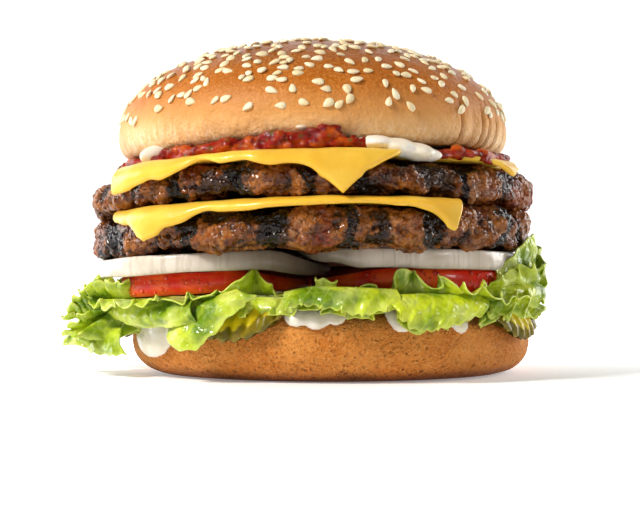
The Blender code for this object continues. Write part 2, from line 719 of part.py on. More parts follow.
def main():
    for obj in list(bpy.data.objects):
        bpy.data.objects.remove(obj)
    burger = bpy.data.collections.new("double_cheeseburger")
    bpy.context.scene.collection.children.link(burger)

    make_heel(burger)
    make_lower_mayonnaise(burger)
    for name, place in PICKLES.items():
        make_pickle(name, *place, burger)
    for name, leaf in LEAVES.items():
        make_leaf(name, *leaf, burger)
    for name, place in TOMATOES.items():
        make_tomato(name, *place, burger)
    for name, place in ONIONS.items():
        make_onion(name, *place, burger)
    make_patty("patty_lower", LOWER_PATTY, burger)
    make_cheese("cheese_lower", LOWER_CHEESE, burger)
    make_patty("patty_upper", UPPER_PATTY, burger)
    make_cheese("cheese_upper", UPPER_CHEESE, burger)
    make_relish(burger)
    make_upper_mayonnaise(burger)
    make_crown(burger)


main()
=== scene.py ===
import math
import random

import bmesh
import bpy
from mathutils import Matrix, Vector, noise


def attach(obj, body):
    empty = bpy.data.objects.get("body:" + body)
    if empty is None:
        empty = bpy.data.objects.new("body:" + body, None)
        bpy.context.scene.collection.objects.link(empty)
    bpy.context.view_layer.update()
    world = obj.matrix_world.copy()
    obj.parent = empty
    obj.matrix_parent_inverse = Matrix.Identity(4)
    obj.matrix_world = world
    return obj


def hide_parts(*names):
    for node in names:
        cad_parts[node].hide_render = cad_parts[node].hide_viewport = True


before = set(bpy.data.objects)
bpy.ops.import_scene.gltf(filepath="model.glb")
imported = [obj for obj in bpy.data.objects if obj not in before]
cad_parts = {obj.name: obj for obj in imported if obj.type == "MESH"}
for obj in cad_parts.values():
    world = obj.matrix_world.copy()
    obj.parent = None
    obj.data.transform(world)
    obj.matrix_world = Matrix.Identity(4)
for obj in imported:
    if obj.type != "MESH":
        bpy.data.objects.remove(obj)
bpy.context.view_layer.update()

# Heel of the bun: the flat-based bottom half, baked golden brown. Its side is matt and full of small
# open pores, largest at the base, where it lay on the baking tray.
MM = 0.001
TURN = 2 * math.pi
GAP = 0.3 * MM
HEEL_TOP = 18.8 * MM
HEEL_RADIUS = 59 * MM
HEEL_FLAT_RADIUS = 47 * MM
HEEL_BELLY = 11 * MM
SHOULDER = 5 * MM
SHOULDER_START = HEEL_RADIUS - SHOULDER

# How far the stack has slumped: height, sag of its left and right ends and lean to the right, in millimetres.
SLUMP_HALF_WIDTH = 62 * MM
SLUMP = [
    (0.0, 0.0, 0.0),
    (18.8, 2.4, 0.0),
    (37.0, 2.2, 0.8),
    (48.0, 2.4, 0.9),
    (61.0, 3.2, 0.9),
    (66.0, 3.5, 0.3),
    (76.0, 3.0, 0.0),
    (99.0, 1.5, 0.0),
]


def blend(low, high, value):
    """0 below low, 1 above high, and a smooth step between."""
    t = min(max((value - low) / (high - low), 0.0), 1.0)
    return t * t * (3 - 2 * t)


def bump(value, centre, width):
    """A smooth hill of height 1 at centre that is gone at width to either side."""
    t = abs(value - centre) / width
    return 0.0 if t >= 1 else (1 - t * t) ** 2


def slump(point):
    """Where a point of the straight stack comes to lie once the burger has settled."""
    height = point.z / MM
    sag, lean = SLUMP[-1][1:]
    for (low, sag_low, lean_low), (high, sag_high, lean_high) in zip(SLUMP, SLUMP[1:]):
        if height <= high:
            share = max(0.0, (height - low) / (high - low))
            sag = sag_low + (sag_high - sag_low) * share
            lean = lean_low + (lean_high - lean_low) * share
            break
    across = point.x / SLUMP_HALF_WIDTH
    return Vector((point.x, point.y, point.z + (lean * across - sag * across * across) * MM))


def spot(azimuth, radius, height, centre=0.0):
    """The point at an azimuth in degrees, from the front towards +X, and a radius from the layer's centre."""
    angle = math.radians(azimuth)
    return Vector((centre + radius * math.sin(angle), -radius * math.cos(angle), height))


def polar(point, centre=0.0):
    """Azimuth in degrees and radius of a point about the layer's centre."""
    return math.degrees(math.atan2(point.x - centre, -point.y)), math.hypot(point.x - centre, point.y)


def wave(point, size, octaves=1):
    """Smooth random relief from about -1 to 1, with hills of the given size."""
    return noise.fractal(point / size, 1.0, 2.0, octaves)


def pit(point, size, reach=0.5):
    """1 in the middle of scattered hollows that are a size apart, 0 between them."""
    near = noise.voronoi(point / size)[0][0]
    return bump(near, 0.0, reach)


def skin(columns, rows, place, marks=()):
    """A sheet of cells whose points place(u, v) puts in space, welded where its edges meet.

    marks names the values that place gives for each point after its position.
    """
    bm = bmesh.new()
    layers = [bm.verts.layers.float.new(mark) for mark in marks]
    bmesh.ops.create_grid(bm, x_segments=columns, y_segments=rows, size=0.5)
    for vertex in bm.verts:
        vertex.co, *values = place(vertex.co.x + 0.5, vertex.co.y + 0.5)
        for layer, value in zip(layers, values):
            vertex[layer] = value
    bmesh.ops.remove_doubles(bm, verts=bm.verts[:], dist=1e-7)
    return bm


def turned(profile, columns, relief, marks=(), centre=0.0):
    """A round piece: a profile from the middle of the top to the middle of the underside, turned about the axis.

    relief(azimuth, point, outward) gives each point's final place and its marks.
    """
    rows = len(profile) - 1

    def place(u, v):
        row = round(v * rows)
        radius, height = profile[row]
        before, after = profile[max(0, row - 1)], profile[min(rows, row + 1)]
        slope = Vector((before[1] - after[1], after[0] - before[0])).normalized()
        azimuth = 360 * (u % 1.0) - 180
        outward = spot(azimuth, slope.x, slope.y)
        return relief(azimuth, spot(azimuth, radius, height, centre), outward)

    return skin(columns, rows, place, marks)


def add_piece(name, bm, material, slot, *nodes):
    """Lets the piece settle with the rest of the burger and puts it in the place of its solids."""
    for vertex in bm.verts:
        vertex.co = slump(vertex.co)
    bmesh.ops.recalc_face_normals(bm, faces=bm.faces[:])
    mesh = bpy.data.meshes.new(name)
    bm.to_mesh(mesh)
    bm.free()
    mesh.materials.append(material)
    mesh.shade_smooth()
    piece = bpy.data.objects.new(name, mesh)
    bpy.context.scene.collection.objects.link(piece)
    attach(piece, "root")
    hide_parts(*nodes)
    return piece


def paint(code):
    """A colour given as six hex digits, as the shader wants it."""
    shares = [int(code[i : i + 2], 16) / 255 for i in (0, 2, 4)]
    return (*[share / 12.92 if share < 0.04045 else ((share + 0.055) / 1.055) ** 2.4 for share in shares], 1.0)


class Finish:
    """One material, whose patterns are laid on in the order in which the food gets its colour."""

    def __init__(self, name, roughness, wet=0.0, gleam=0.25, glow=0.0, glow_depth=1 * MM, glow_tint=(1, 0.5, 0.25)):
        self.material = bpy.data.materials.new(name)
        self.material.use_nodes = True
        self.nodes = self.material.node_tree.nodes
        self.links = self.material.node_tree.links
        self.shader = self.nodes["Principled BSDF"]
        self.shader.inputs["Roughness"].default_value = roughness
        self.shader.inputs["Specular IOR Level"].default_value = gleam
        self.shader.inputs["Coat Weight"].default_value = wet
        self.shader.inputs["Coat Roughness"].default_value = 0.08
        self.shader.inputs["Subsurface Weight"].default_value = glow
        self.shader.inputs["Subsurface Radius"].default_value = glow_tint
        self.shader.inputs["Subsurface Scale"].default_value = glow_depth
        self.place = self.nodes.new("ShaderNodeTexCoord").outputs["Object"]
        self.relief = None

    def node(self, kind, inputs, **settings):
        """A node with its settings, and its inputs set or linked."""
        node = self.nodes.new(kind)
        for key, value in settings.items():
            setattr(node, key, value)
        for key, value in inputs.items():
            if isinstance(value, bpy.types.NodeSocket):
                self.links.new(value, node.inputs[key])
            else:
                node.inputs[key].default_value = value
        return node

    def stretched(self, scale):
        """The place, with a pattern drawn out along an axis whose scale is under 1."""
        return self.node("ShaderNodeMapping", {"Vector": self.place, "Scale": scale}).outputs[0]

    def grain(self, size, detail=2.0, scale=None, distortion=0.0):
        """Soft random patches of a size, as a value from 0 to 1."""
        place = self.stretched(scale) if scale else self.place
        inputs = {"Vector": place, "Scale": 1 / size, "Detail": detail, "Distortion": distortion}
        return self.node("ShaderNodeTexNoise", inputs).outputs[0]

    def cells(self, size, feature="F1", scale=None, kind="EUCLIDEAN"):
        """The distance to the nearest of scattered points, or to the border between their cells."""
        place = self.stretched(scale) if scale else self.place
        inputs = {"Vector": place, "Scale": 1 / size}
        return self.node("ShaderNodeTexVoronoi", inputs, feature=feature).outputs["Distance"]

    def mark(self, name):
        """A value that the mesh carries at each point."""
        return self.node("ShaderNodeAttribute", {}, attribute_name=name).outputs["Fac"]

    def height(self):
        """The height above the ground, in metres."""
        return self.node("ShaderNodeSeparateXYZ", {0: self.place}).outputs["Z"]

    def step(self, value, low, high, least=0.0, most=1.0):
        """A smooth step from least to most as the value goes from low to high."""
        inputs = {"Value": value, "From Min": low, "From Max": high, "To Min": least, "To Max": most}
        return self.node("ShaderNodeMapRange", inputs, interpolation_type="SMOOTHSTEP").outputs[0]

    def sum(self, first, second, operation="ADD"):
        """Two values added, or joined by another operation."""
        return self.node("ShaderNodeMath", {0: first, 1: second}, operation=operation).outputs[0]

    def mix(self, share, first, second):
        """One colour turning into another as share goes from 0 to 1."""
        inputs = {0: share, 6: first, 7: second}
        return self.node("ShaderNodeMix", inputs, data_type="RGBA").outputs[2]

    def raise_by(self, value, distance, strength=1.0):
        """Fine relief in the shading, added to what is there."""
        inputs = {"Height": value, "Distance": distance, "Strength": strength}
        if self.relief:
            inputs["Normal"] = self.relief
        self.relief = self.node("ShaderNodeBump", inputs).outputs[0]

    def done(self, colour, roughness=None, wet_relief=None):
        """Joins colour, roughness and relief to the shader and gives the material."""
        self.links.new(colour, self.shader.inputs["Base Color"])
        if roughness:
            self.links.new(roughness, self.shader.inputs["Roughness"])
        if self.relief:
            self.links.new(self.relief, self.shader.inputs["Normal"])
            self.links.new(wet_relief or self.relief, self.shader.inputs["Coat Normal"])
        return self.material


def heel_outline():
    """The heel's profile: flat top, rounded shoulder, full belly and flat base."""
    profile = [(SHOULDER_START * i / 6, HEEL_TOP) for i in range(6)]
    for i in range(15):
        angle = math.pi / 2 * i / 14
        height = HEEL_TOP - SHOULDER + SHOULDER * math.cos(angle)
        profile.append((SHOULDER_START + SHOULDER * math.sin(angle), height))
    profile += [(HEEL_RADIUS, HEEL_TOP - SHOULDER - 0.6 * MM * i) for i in range(1, 5)]
    for i in range(36):
        drop = i / 35
        belly = (1 - drop**2.1) ** (1 / 2.1)
        profile.append((HEEL_FLAT_RADIUS + (HEEL_RADIUS - HEEL_FLAT_RADIUS) * belly, HEEL_BELLY * (1 - drop)))
    profile += [(HEEL_FLAT_RADIUS * i / 4, 0.0) for i in (3, 2, 1, 0)]
    return profile


def heel_relief(azimuth, point, outward):
    """Gentle unevenness, a fine open crumb, and bigger hollows near the base."""
    side = blend(SHOULDER_START - 6 * MM, SHOULDER_START, math.hypot(point.x, point.y))
    base = 1 - blend(1.5 * MM, 9 * MM, point.z)
    swell = 0.45 * MM * wave(point, 16 * MM) + 0.1 * MM * wave(point, 2.2 * MM, 3)
    pores = 0.16 * MM * pit(point, 1.6 * MM, 0.42) + base * 0.55 * MM * pit(point + outward, 3.2 * MM, 0.36)
    foot = blend(0.0, 1.2 * MM, point.z)
    return point + outward * (swell - pores) * side * foot, base


def heel_finish():
    """Golden-brown crust, paler at the shoulder, with painted shade in its pores, and dark along the base."""
    crust = Finish("heel_crust", 0.7, gleam=0.2, glow=0.06, glow_depth=1.5 * MM)
    height = crust.height()
    patches = crust.grain(14 * MM, 3)
    fine = crust.grain(0.8 * MM, 5)
    pores = crust.step(crust.cells(1.15 * MM), 0.12, 0.5)
    tiny = crust.step(crust.cells(0.6 * MM), 0.1, 0.5)
    colour = crust.mix(crust.step(patches, 0.35, 0.68), paint("C87426"), paint("DA8C3C"))
    colour = crust.mix(crust.step(height, 12 * MM, 18 * MM, 0, 0.5), colour, paint("C98A44"))
    colour = crust.mix(crust.step(fine, 0.42, 0.72, 0, 0.55), colour, paint("E2A35A"))
    low = crust.step(height, 7 * MM, 15 * MM, 1, 0.15)
    # Painted shade: darker in the pores, more so low down, and darkest in the big pores near the base.
    colour = crust.mix(crust.sum(low, crust.step(pores, 0, 1, 0.22, 0), "MULTIPLY"), colour, paint("96501A"))
    colour = crust.mix(crust.step(tiny, 0, 1, 0.1, 0), colour, paint("A05C22"))
    deep = crust.step(crust.cells(2.9 * MM), 0.12, 0.3, 1, 0)
    deep = crust.sum(deep, crust.step(height, 2 * MM, 7 * MM, 0.8, 0), "MULTIPLY")
    colour = crust.mix(deep, colour, paint("5E2A0A"))
    toast = crust.sum(height, crust.sum(patches, 4 * MM, "MULTIPLY"), "SUBTRACT")
    colour = crust.mix(crust.step(toast, -1.5 * MM, 2.2 * MM, 0.85, 0), colour, paint("6A300E"))
    crust.raise_by(pores, 0.3 * MM)
    crust.raise_by(tiny, 0.2 * MM)
    crust.raise_by(fine, 0.35 * MM)
    return crust.done(colour)


add_piece("heel", turned(heel_outline(), 620, heel_relief, ["base"]), heel_finish(), "heel_crust", "bun_heel")

# Mayonnaise on the heel: a thin spread that the weight above has pressed out over the edge in thick,
# rounded drops. Drops and spread are melted together into one smooth skin.
SAUCE_RADIUS = 49 * MM
SAUCE_THICK = 0.5 * MM

# Azimuth, reach, half length, half width and how proud each drop stands, in millimetres.
LOWER_DROPS = [
    (-58, 62.6, 10.0, 12.5, 3.3),
    (-46, 60.0, 9.0, 7.0, 2.6),
    (-42, 57.0, 8.2, 4.0, 1.8),
    (-9.6, 54.6, 8.4, 5.0, 2.6),
    (-4.2, 55.2, 8.8, 5.6, 2.8),
    (1.0, 54.4, 8.0, 4.4, 2.3),
    (18.5, 55.4, 9.6, 5.0, 2.7),
    (24.0, 55.8, 8.8, 4.6, 2.3),
    (36.5, 56.6, 8.6, 4.6, 2.1),
    (148, 57.0, 9.8, 5.6, 2.3),
    (156, 56.6, 8.6, 4.4, 1.9),
]


def over_heel(reach, lift, fold=7 * MM):
    """Radius and height of a point that lies reach out from the axis, measured along the heel's skin."""
    beyond = max(0.0, reach - SHOULDER_START)
    bend = min(beyond / fold, math.pi / 2)
    radius = min(reach, SHOULDER_START) + (SHOULDER + lift) * math.sin(bend)
    height = HEEL_TOP - SHOULDER + (SHOULDER + lift) * math.cos(bend) - max(0.0, beyond - fold * math.pi / 2)
    return radius, height


def lower_drop(drops, azimuth, reach, along, across, proud):
    """One drop that follows the heel's skin, its long way running down over the edge."""
    ball = bmesh.ops.create_uvsphere(drops, u_segments=20, v_segments=14, radius=1.0)["verts"]
    for vertex in ball:
        y, z, x = vertex.co
        turn = math.degrees(y * across / HEEL_RADIUS) * (0.8 + 0.2 * x)
        under = 0.1 * MM + max(0.0, z) ** 0.8 * proud
        vertex.co = spot(azimuth + turn, *over_heel(reach + x * along, under))


def melted(bm, name, cell, rounds):
    """The pieces in a mesh melted into one body with a smooth skin."""
    mesh = bpy.data.meshes.new(name)
    bm.to_mesh(mesh)
    bm.free()
    pot = bpy.data.objects.new(name, mesh)
    bpy.context.scene.collection.objects.link(pot)
    melt = pot.modifiers.new("melt", "REMESH")
    melt.mode = "VOXEL"
    melt.voxel_size = cell
    settle = pot.modifiers.new("settle", "SMOOTH")
    settle.factor = 0.5
    settle.iterations = rounds
    bpy.context.view_layer.update()
    result = bmesh.new()
    result.from_object(pot, bpy.context.evaluated_depsgraph_get())
    bpy.data.objects.remove(pot)
    return result


def mayonnaise_finish():
    """Glossy cream that lets light in, a little warmer in soft patches."""
    cream = Finish("mayonnaise", 0.3, 0.5, 0.3, glow=0.3, glow_depth=2 * MM, glow_tint=(1, 0.8, 0.5))
    colour = cream.mix(cream.step(cream.grain(5 * MM), 0.35, 0.7), paint("F2ECDE"), paint("E8DEC8"))
    cream.raise_by(cream.grain(2.5 * MM, 2), 0.25 * MM)
    return cream.done(colour)


def lower_mayonnaise():
    """All the drops and the spread between them."""
    drops = bmesh.new()
    for azimuth, *sizes in LOWER_DROPS:
        lower_drop(drops, azimuth, *[size * MM for size in sizes])
    spread = bmesh.ops.create_cone(
        drops, cap_ends=True, segments=96, radius1=SAUCE_RADIUS, radius2=SAUCE_RADIUS, depth=3 * SAUCE_THICK
    )
    lift = HEEL_TOP + SAUCE_THICK
    bmesh.ops.translate(drops, verts=spread["verts"], vec=(0, 0, lift))
    return melted(drops, "lower_drops", 0.55 * MM, 7)


MAYONNAISE = mayonnaise_finish()
add_piece("mayonnaise_below", lower_mayonnaise(), MAYONNAISE, "mayonnaise", "mayonnaise_lower")

# Pickles: crinkle-cut slices of gherkin laid half over the heel's edge. The flesh is wet and lets light
# through, and each slice has a thin rim of darker skin.
PICKLE_RADIUS = 17 * MM
PICKLE_HALF = 1.0 * MM
PICKLE_LIFT = 2.55 * MM
CRINKLES = 8
CRINKLE_DEPTH = 0.45 * MM
PICKLES = {"pickle_left": (-94, 50 * MM), "pickle_front": (-27, 50 * MM), "pickle_right": (62, 49.5 * MM)}


def slab(columns, rows, place, marks=()):
    """A closed slab of an upper and a lower sheet that meet at their rims.

    place(u, v, side) gives a point and its marks, side being 1 on the upper sheet and -1 on the lower.
    """
    bm = skin(columns, rows, lambda u, v: place(u, v, 1), marks)
    under = skin(columns, rows, lambda u, v: place(u, v, -1), marks)
    mesh = bpy.data.meshes.new("under")
    under.to_mesh(mesh)
    under.free()
    bm.from_mesh(mesh)
    bpy.data.meshes.remove(mesh)
    bmesh.ops.remove_doubles(bm, verts=bm.verts[:], dist=1e-6)
    return bm


def rim_height(inward, edge):
    """The share of a slab's thickness at a distance in from its rim, for a rounded rim."""
    share = min(max(inward / edge, 0.0), 1.0)
    return math.sqrt(share * (2 - share))


def pickle(azimuth, distance):
    """One slice, bent over the heel's edge."""
    angle = math.radians(azimuth)
    out = Vector((math.sin(angle), -math.cos(angle), 0))
    side_way = Vector((math.cos(angle), math.sin(angle), 0))

    def place(u, v, side):
        along = PICKLE_RADIUS * math.sin(math.pi * (u - 0.5))
        ridge = math.cos(TURN * CRINKLES * along / (2 * PICKLE_RADIUS) + math.pi)
        chord = math.sqrt(max(0.0, PICKLE_RADIUS**2 - along**2)) * (1 + 0.035 * ridge)
        away = chord * math.sin(math.pi * (v - 0.5))
        inward = PICKLE_RADIUS - math.hypot(along, away)
        flat = out * (distance + away) + side_way * along
        turn, reach = polar(flat)
        crinkle = CRINKLE_DEPTH * ridge
        seeds = 0.12 * MM * wave(flat, 2 * MM, 2)
        half = PICKLE_HALF * rim_height(inward, 0.5 * MM)
        point = spot(turn, *over_heel(reach, PICKLE_LIFT + crinkle + side * (half + seeds * (side > 0))))
        band = inward + 0.8 * MM * ridge
        return point, 1 - blend(2.9 * MM, 3.5 * MM, band), blend(6.4 * MM, 8.4 * MM, band)

    return slab(110, 60, place, ["rind", "middle"])


def pickle_finish():
    """Wet olive-green rind round pale yellow-green flesh."""
    gherkin = Finish("pickle", 0.4, 0.45, 0.2, glow=0.25, glow_depth=2 * MM, glow_tint=(0.9, 0.9, 0.1))
    flesh = gherkin.mix(gherkin.step(gherkin.grain(3 * MM, 3), 0.35, 0.65), paint("D0B806"), paint("E6D010"))
    flesh = gherkin.mix(gherkin.mark("middle"), flesh, paint("9C9A1C"))
    rind = gherkin.mix(gherkin.step(gherkin.grain(4 * MM, 3), 0.35, 0.65), paint("6A600A"), paint("8C780C"))
    colour = gherkin.mix(gherkin.mark("rind"), flesh, rind)
    gherkin.raise_by(gherkin.grain(0.9 * MM, 3), 0.2 * MM)
    return gherkin.done(colour)


PICKLE = pickle_finish()
for name, place in PICKLES.items():
    add_piece(name + "_slice", pickle(*place), PICKLE, "pickle", name)

# Lettuce: crisp leaves in two layers, one hanging over the heel and one standing up round the tomato.
# Each is a thin blade with pale ribs that fan out towards a frilled, paler margin.
LEAF_HALF = 0.22 * MM
UNDER_HEIGHT = 23.5 * MM
OVER_HEIGHT = 24.4 * MM
LEAF_BASE = 10 * MM

# Tomato slices: x, y and radius in millimetres, and the azimuth of the side where a neighbour overlaps.
TOMATOES = {
    "tomato_left": (-33.8, -21, 27.4, 90),
    "tomato_right": (23.6, -19, 29.5, -90),
    "tomato_back": (-7, 30.5, 25.5, 0),
}

# Leaves: layer, first and last azimuth, number of ruffles, phase of the ruffles in turns.
LEAVES = {
    "lettuce_under_left": ("under", -140, -37, 6.0, 0.10),
    "lettuce_under_front": ("under", -33, 50, 5.0, 0.55),
    "lettuce_under_back": ("under", 54, 216, 9.0, 0.30),
    "lettuce_over_left": ("over", -120, -14, 6.5, 0.70),
    "lettuce_over_front": ("over", -9, 62, 5.0, 0.15),
    "lettuce_over_right": ("tall", 66, 122, 3.0, 0.60),
    "lettuce_over_back": ("over", 127, 235, 7.0, 0.45),
}


def slice_reach(azimuth, slices):
    """How far out from the stack's axis the slices reach at an azimuth."""
    angle = math.radians(azimuth)
    out = (math.sin(angle), -math.cos(angle))
    reach = 0.0
    for x, y, radius, _ in slices.values():
        middle = x * out[0] + y * out[1]
        off = x * out[1] - y * out[0]
        if abs(off) < radius:
            reach = max(reach, middle + math.sqrt(radius * radius - off * off))
    return reach * MM


# How far the front margins drop below the flat of the under leaves, and rise above that of the over
# leaves: azimuth and millimetres.
DROPS = [
    (-64, 7.4), (-56, 6.6), (-49, 6.4), (-41, 7.0), (-34, 6.6), (-29, 6.0), (-25, 4.4), (-22, 3.4), (-18, 3.1),
    (-15, 3.8), (-11.7, 3.6), (-10, 2.6), (-7.6, 1.9), (-3, 2.4), (1.8, 3.2), (4.6, 4.8), (7.6, 4.4), (9.3, 5.4),
    (12.4, 3.2), (16, 3.1), (18, 6.0), (20, 8.4), (22.4, 8.9), (24.6, 6.9), (27.8, 7.4), (30.7, 6.8), (33.6, 6.0),
    (36.7, 4.1), (38.4, 2.6), (41.8, 4.8), (45.4, 6.6), (49.5, 6.8), (54, 2.4), (60, 1.2), (66, 1.0),
]
RISES = [
    (-122, 1.0), (-114, 4.4), (-106, 0.6), (-98, 4.2), (-90, 1.2), (-84, 4.0), (-77, 1.8), (-71, 2.6), (-66, 0.6),
    (-61, -0.5), (-50, -1.0), (-42, -0.9), (-36, 0.1), (-31, 2.1), (-28, 2.6), (-25.5, 5.5), (-22.8, 7.6),
    (-20.9, 5.4), (-18, 3.2), (-14.3, 0.9), (-11.8, 0.4), (-8.8, -1.0), (-7.3, 1.7), (-5.5, 2.2), (-3.1, 3.5),
    (-0.1, 3.8), (3.1, 1.1), (6.3, 0.6), (8.8, 3.3), (10.9, 3.0), (12.6, 0.9), (15.7, 1.3), (18.2, 4.2), (19.4, 6.3),
    (21.5, 5.2), (23.8, 5.9), (25.2, 2.8), (27.2, 3.7), (28.7, 5.0), (31.1, 4.3), (32.6, 1.1), (34, 3.5), (36.8, 1.7),
    (39.2, 3.7), (41, 1.9), (43, 1.1), (47, 0.1), (54, 2.0), (62, 0.5),
]


def listed(table, azimuth):
    """The value at an azimuth on a smooth line through the entries of a table."""
    azimuth = min(max(azimuth, table[0][0]), table[-1][0])
    first = next(i for i in range(len(table) - 1) if azimuth <= table[i + 1][0])
    places = [table[min(max(i, 0), len(table) - 1)] for i in range(first - 1, first + 3)]
    (before, low), (after, high) = places[1:3]
    span = after - before
    s = (azimuth - before) / span
    leaving = span * (high - places[0][1]) / (after - places[0][0])
    arriving = span * (places[3][1] - low) / (places[3][0] - before)
    steady = low + (high - low) * s * s * (3 - 2 * s)
    return steady + leaving * s * (1 - s) ** 2 - arriving * s * s * (1 - s)


def under_margin(azimuth, ruffle):
    """Start, heading in degrees, length and bend of the margin of a leaf that hangs over the heel."""
    left = bump(azimuth, -84, 42)
    right = bump(azimuth, 82, 36)
    start = SHOULDER_START + (6.5 * left + 1.5 * left * ruffle) * MM
    heading = max(-96, -66 + 28 * ruffle - 10 * left - 18 * right)
    length = (14 + 3 * ruffle + 6 * left - 7.5 * right) * MM
    front = blend(-70, -58, azimuth) * (1 - blend(58, 66, azimuth))
    drop = listed(DROPS, azimuth)
    sizes = (SHOULDER_START + 1.5 * MM, -80, (4.4 + drop) * MM, 8.5 * MM)
    return [size + (sizes[i] - size) * front for i, size in enumerate((start, heading, length, 14 * MM))]


def over_margin(azimuth, ruffle):
    """The same for a leaf that stands up round the tomato."""
    left = bump(azimuth, -92, 34)
    start = max(50 * MM, slice_reach(azimuth, TOMATOES) + 1.4 * MM)
    front = blend(-124, -118, azimuth) * (1 - blend(62, 70, azimuth))
    rise = listed(RISES, azimuth) * front + (3.4 + 3.6 * ruffle) * (1 - front)
    heading = max(-30, min(80, 12.5 * rise))
    return start, heading, (5.2 + 0.55 * max(0.0, rise) + 6.5 * left) * MM, 5 * MM


def tall_margin(azimuth, ruffle):
    """The same for the leaf that stands up outside the onion and the patty."""
    middle = bump(azimuth, 90, 34)
    start = max(53.7 * MM, slice_reach(azimuth, TOMATOES) + 1.4 * MM)
    heading = 66 + 22 * middle + 10 * ruffle
    length = (9 + 9.5 * middle + 1.2 * ruffle) * MM
    return start, heading, length, 8.5 * MM


# Each layer: its height, its margin, and how deep its second and third frills are, in millimetres.
LAYERS = {
    "under": (UNDER_HEIGHT, under_margin, 1.5, 0.8),
    "over": (OVER_HEIGHT, over_margin, 1.2, 0.6),
    "tall": (OVER_HEIGHT, tall_margin, 1.1, 0.7),
}


def leaf(layer, first, last, ruffles, phase):
    """One leaf: flat under the tomato, then bending into a margin that is frilled three times over."""
    height, margin, second, third = LAYERS[layer]

    def place(u, v):
        azimuth = first + (last - first) * u
        fold = TURN * (ruffles * u + phase)
        ruffle = math.sin(fold)
        ends = min(1.0, 0.4 + 9 * min(u, 1 - u))
        start, heading, length, curve = margin(azimuth, ruffle * ends)
        # How far out along the blade: negative on the flat part, then from 0 to 1 along the margin.
        out = (v - 0.22) / 0.78
        seed = Vector((azimuth * 0.055 * MM / MM, out, 3 * phase))
        scallop = 1 + 0.08 * noise.noise(seed * 4) + 0.07 * noise.noise(seed * 13)
        run = length * ends * scallop * max(0.0, out)
        bend = math.radians(heading)
        if abs(bend) < 1e-4:
            bend = 1e-4
        curled = min(run, curve)
        angle = bend * curled / curve
        radius = start + curve / bend * math.sin(angle) + (run - curled) * math.cos(bend)
        level = height + curve / bend * (1 - math.cos(angle)) + (run - curled) * math.sin(bend)
        if out < 0:
            radius = start + LEAF_BASE * out / 0.28
        free = max(0.0, out)
        frill = second * free**1.6 * math.sin(2.6 * fold + 1.2 * math.sin(fold) + phase) * ends
        frill += third * free**2.6 * math.sin(6.3 * fold + 2.0 * math.sin(1.7 * fold)) * ends
        here = spot(azimuth, radius, level)
        crumple = 1.1 * wave(here, 8 * MM, 2) + 0.14 * wave(here, 2.4 * MM, 2)
        vein = abs(math.sin(1.55 * fold + 0.6 * wave(here, 9 * MM) + 0.5 * out))
        rib = 1 - blend(0.0, 0.16 + 0.1 * free, vein)
        lift = (frill + crumple * blend(-0.1, 0.3, out) - 0.3 * rib * (1 - 0.5 * free)) * MM
        sway = 1.5 * free**1.5 * math.cos(2.6 * fold + phase) * ends
        point = spot(azimuth + sway, radius - lift * math.sin(angle), level + lift * math.cos(angle))
        return point, free, rib

    columns = round((last - first) * 3.0)
    return skin(columns, 38, place, ["margin", "rib"])


def leaf_finish():
    """Fresh yellow green, deeper in random patches, with pale ribs, a fine net of veins and a pale margin."""
    blade = Finish("lettuce", 0.34, 0.5, 0.3, glow=0.3, glow_depth=1.2 * MM, glow_tint=(0.7, 1.0, 0.08))
    patches = blade.grain(12 * MM, 3)
    net = blade.cells(3.4 * MM, "DISTANCE_TO_EDGE")
    colour = blade.mix(blade.step(patches, 0.36, 0.64), paint("6A8C06"), paint("CEDC20"))
    colour = blade.mix(blade.step(blade.grain(3 * MM, 4), 0.5, 0.75, 0, 0.5), colour, paint("C2D23C"))
    colour = blade.mix(blade.step(net, 0.0, 0.08, 0.12, 0), colour, paint("CBDB7C"))
    colour = blade.mix(blade.step(blade.grain(13 * MM, 2), 0.5, 0.62, 0, 0.35), colour, paint("D6E08A"))
    colour = blade.mix(blade.step(blade.mark("rib"), 0.1, 0.9, 0, 0.6), colour, paint("DCE68E"))
    colour = blade.mix(blade.step(blade.mark("margin"), 0.0, 0.45, 0.5, 0), colour, paint("CFE08A"))
    colour = blade.mix(blade.step(blade.mark("margin"), 0.9, 1.0, 0, 0.75), colour, paint("D2E05A"))
    blade.raise_by(blade.step(net, 0.0, 0.35), 0.22 * MM)
    blade.raise_by(blade.grain(1.6 * MM, 3), 0.3 * MM)
    gloss = blade.step(blade.grain(3 * MM, 3), 0.3, 0.7, 0.25, 0.5)
    return blade.done(colour, gloss)


def thicken(piece):
    """Gives a blade its thickness."""
    blade = piece.modifiers.new("blade", "SOLIDIFY")
    blade.thickness = 2 * LEAF_HALF
    blade.offset = 0.0


LEAF = leaf_finish()
for name, form in LEAVES.items():
    thicken(add_piece(name + "_leaf", leaf(*form), LEAF, "lettuce", name))

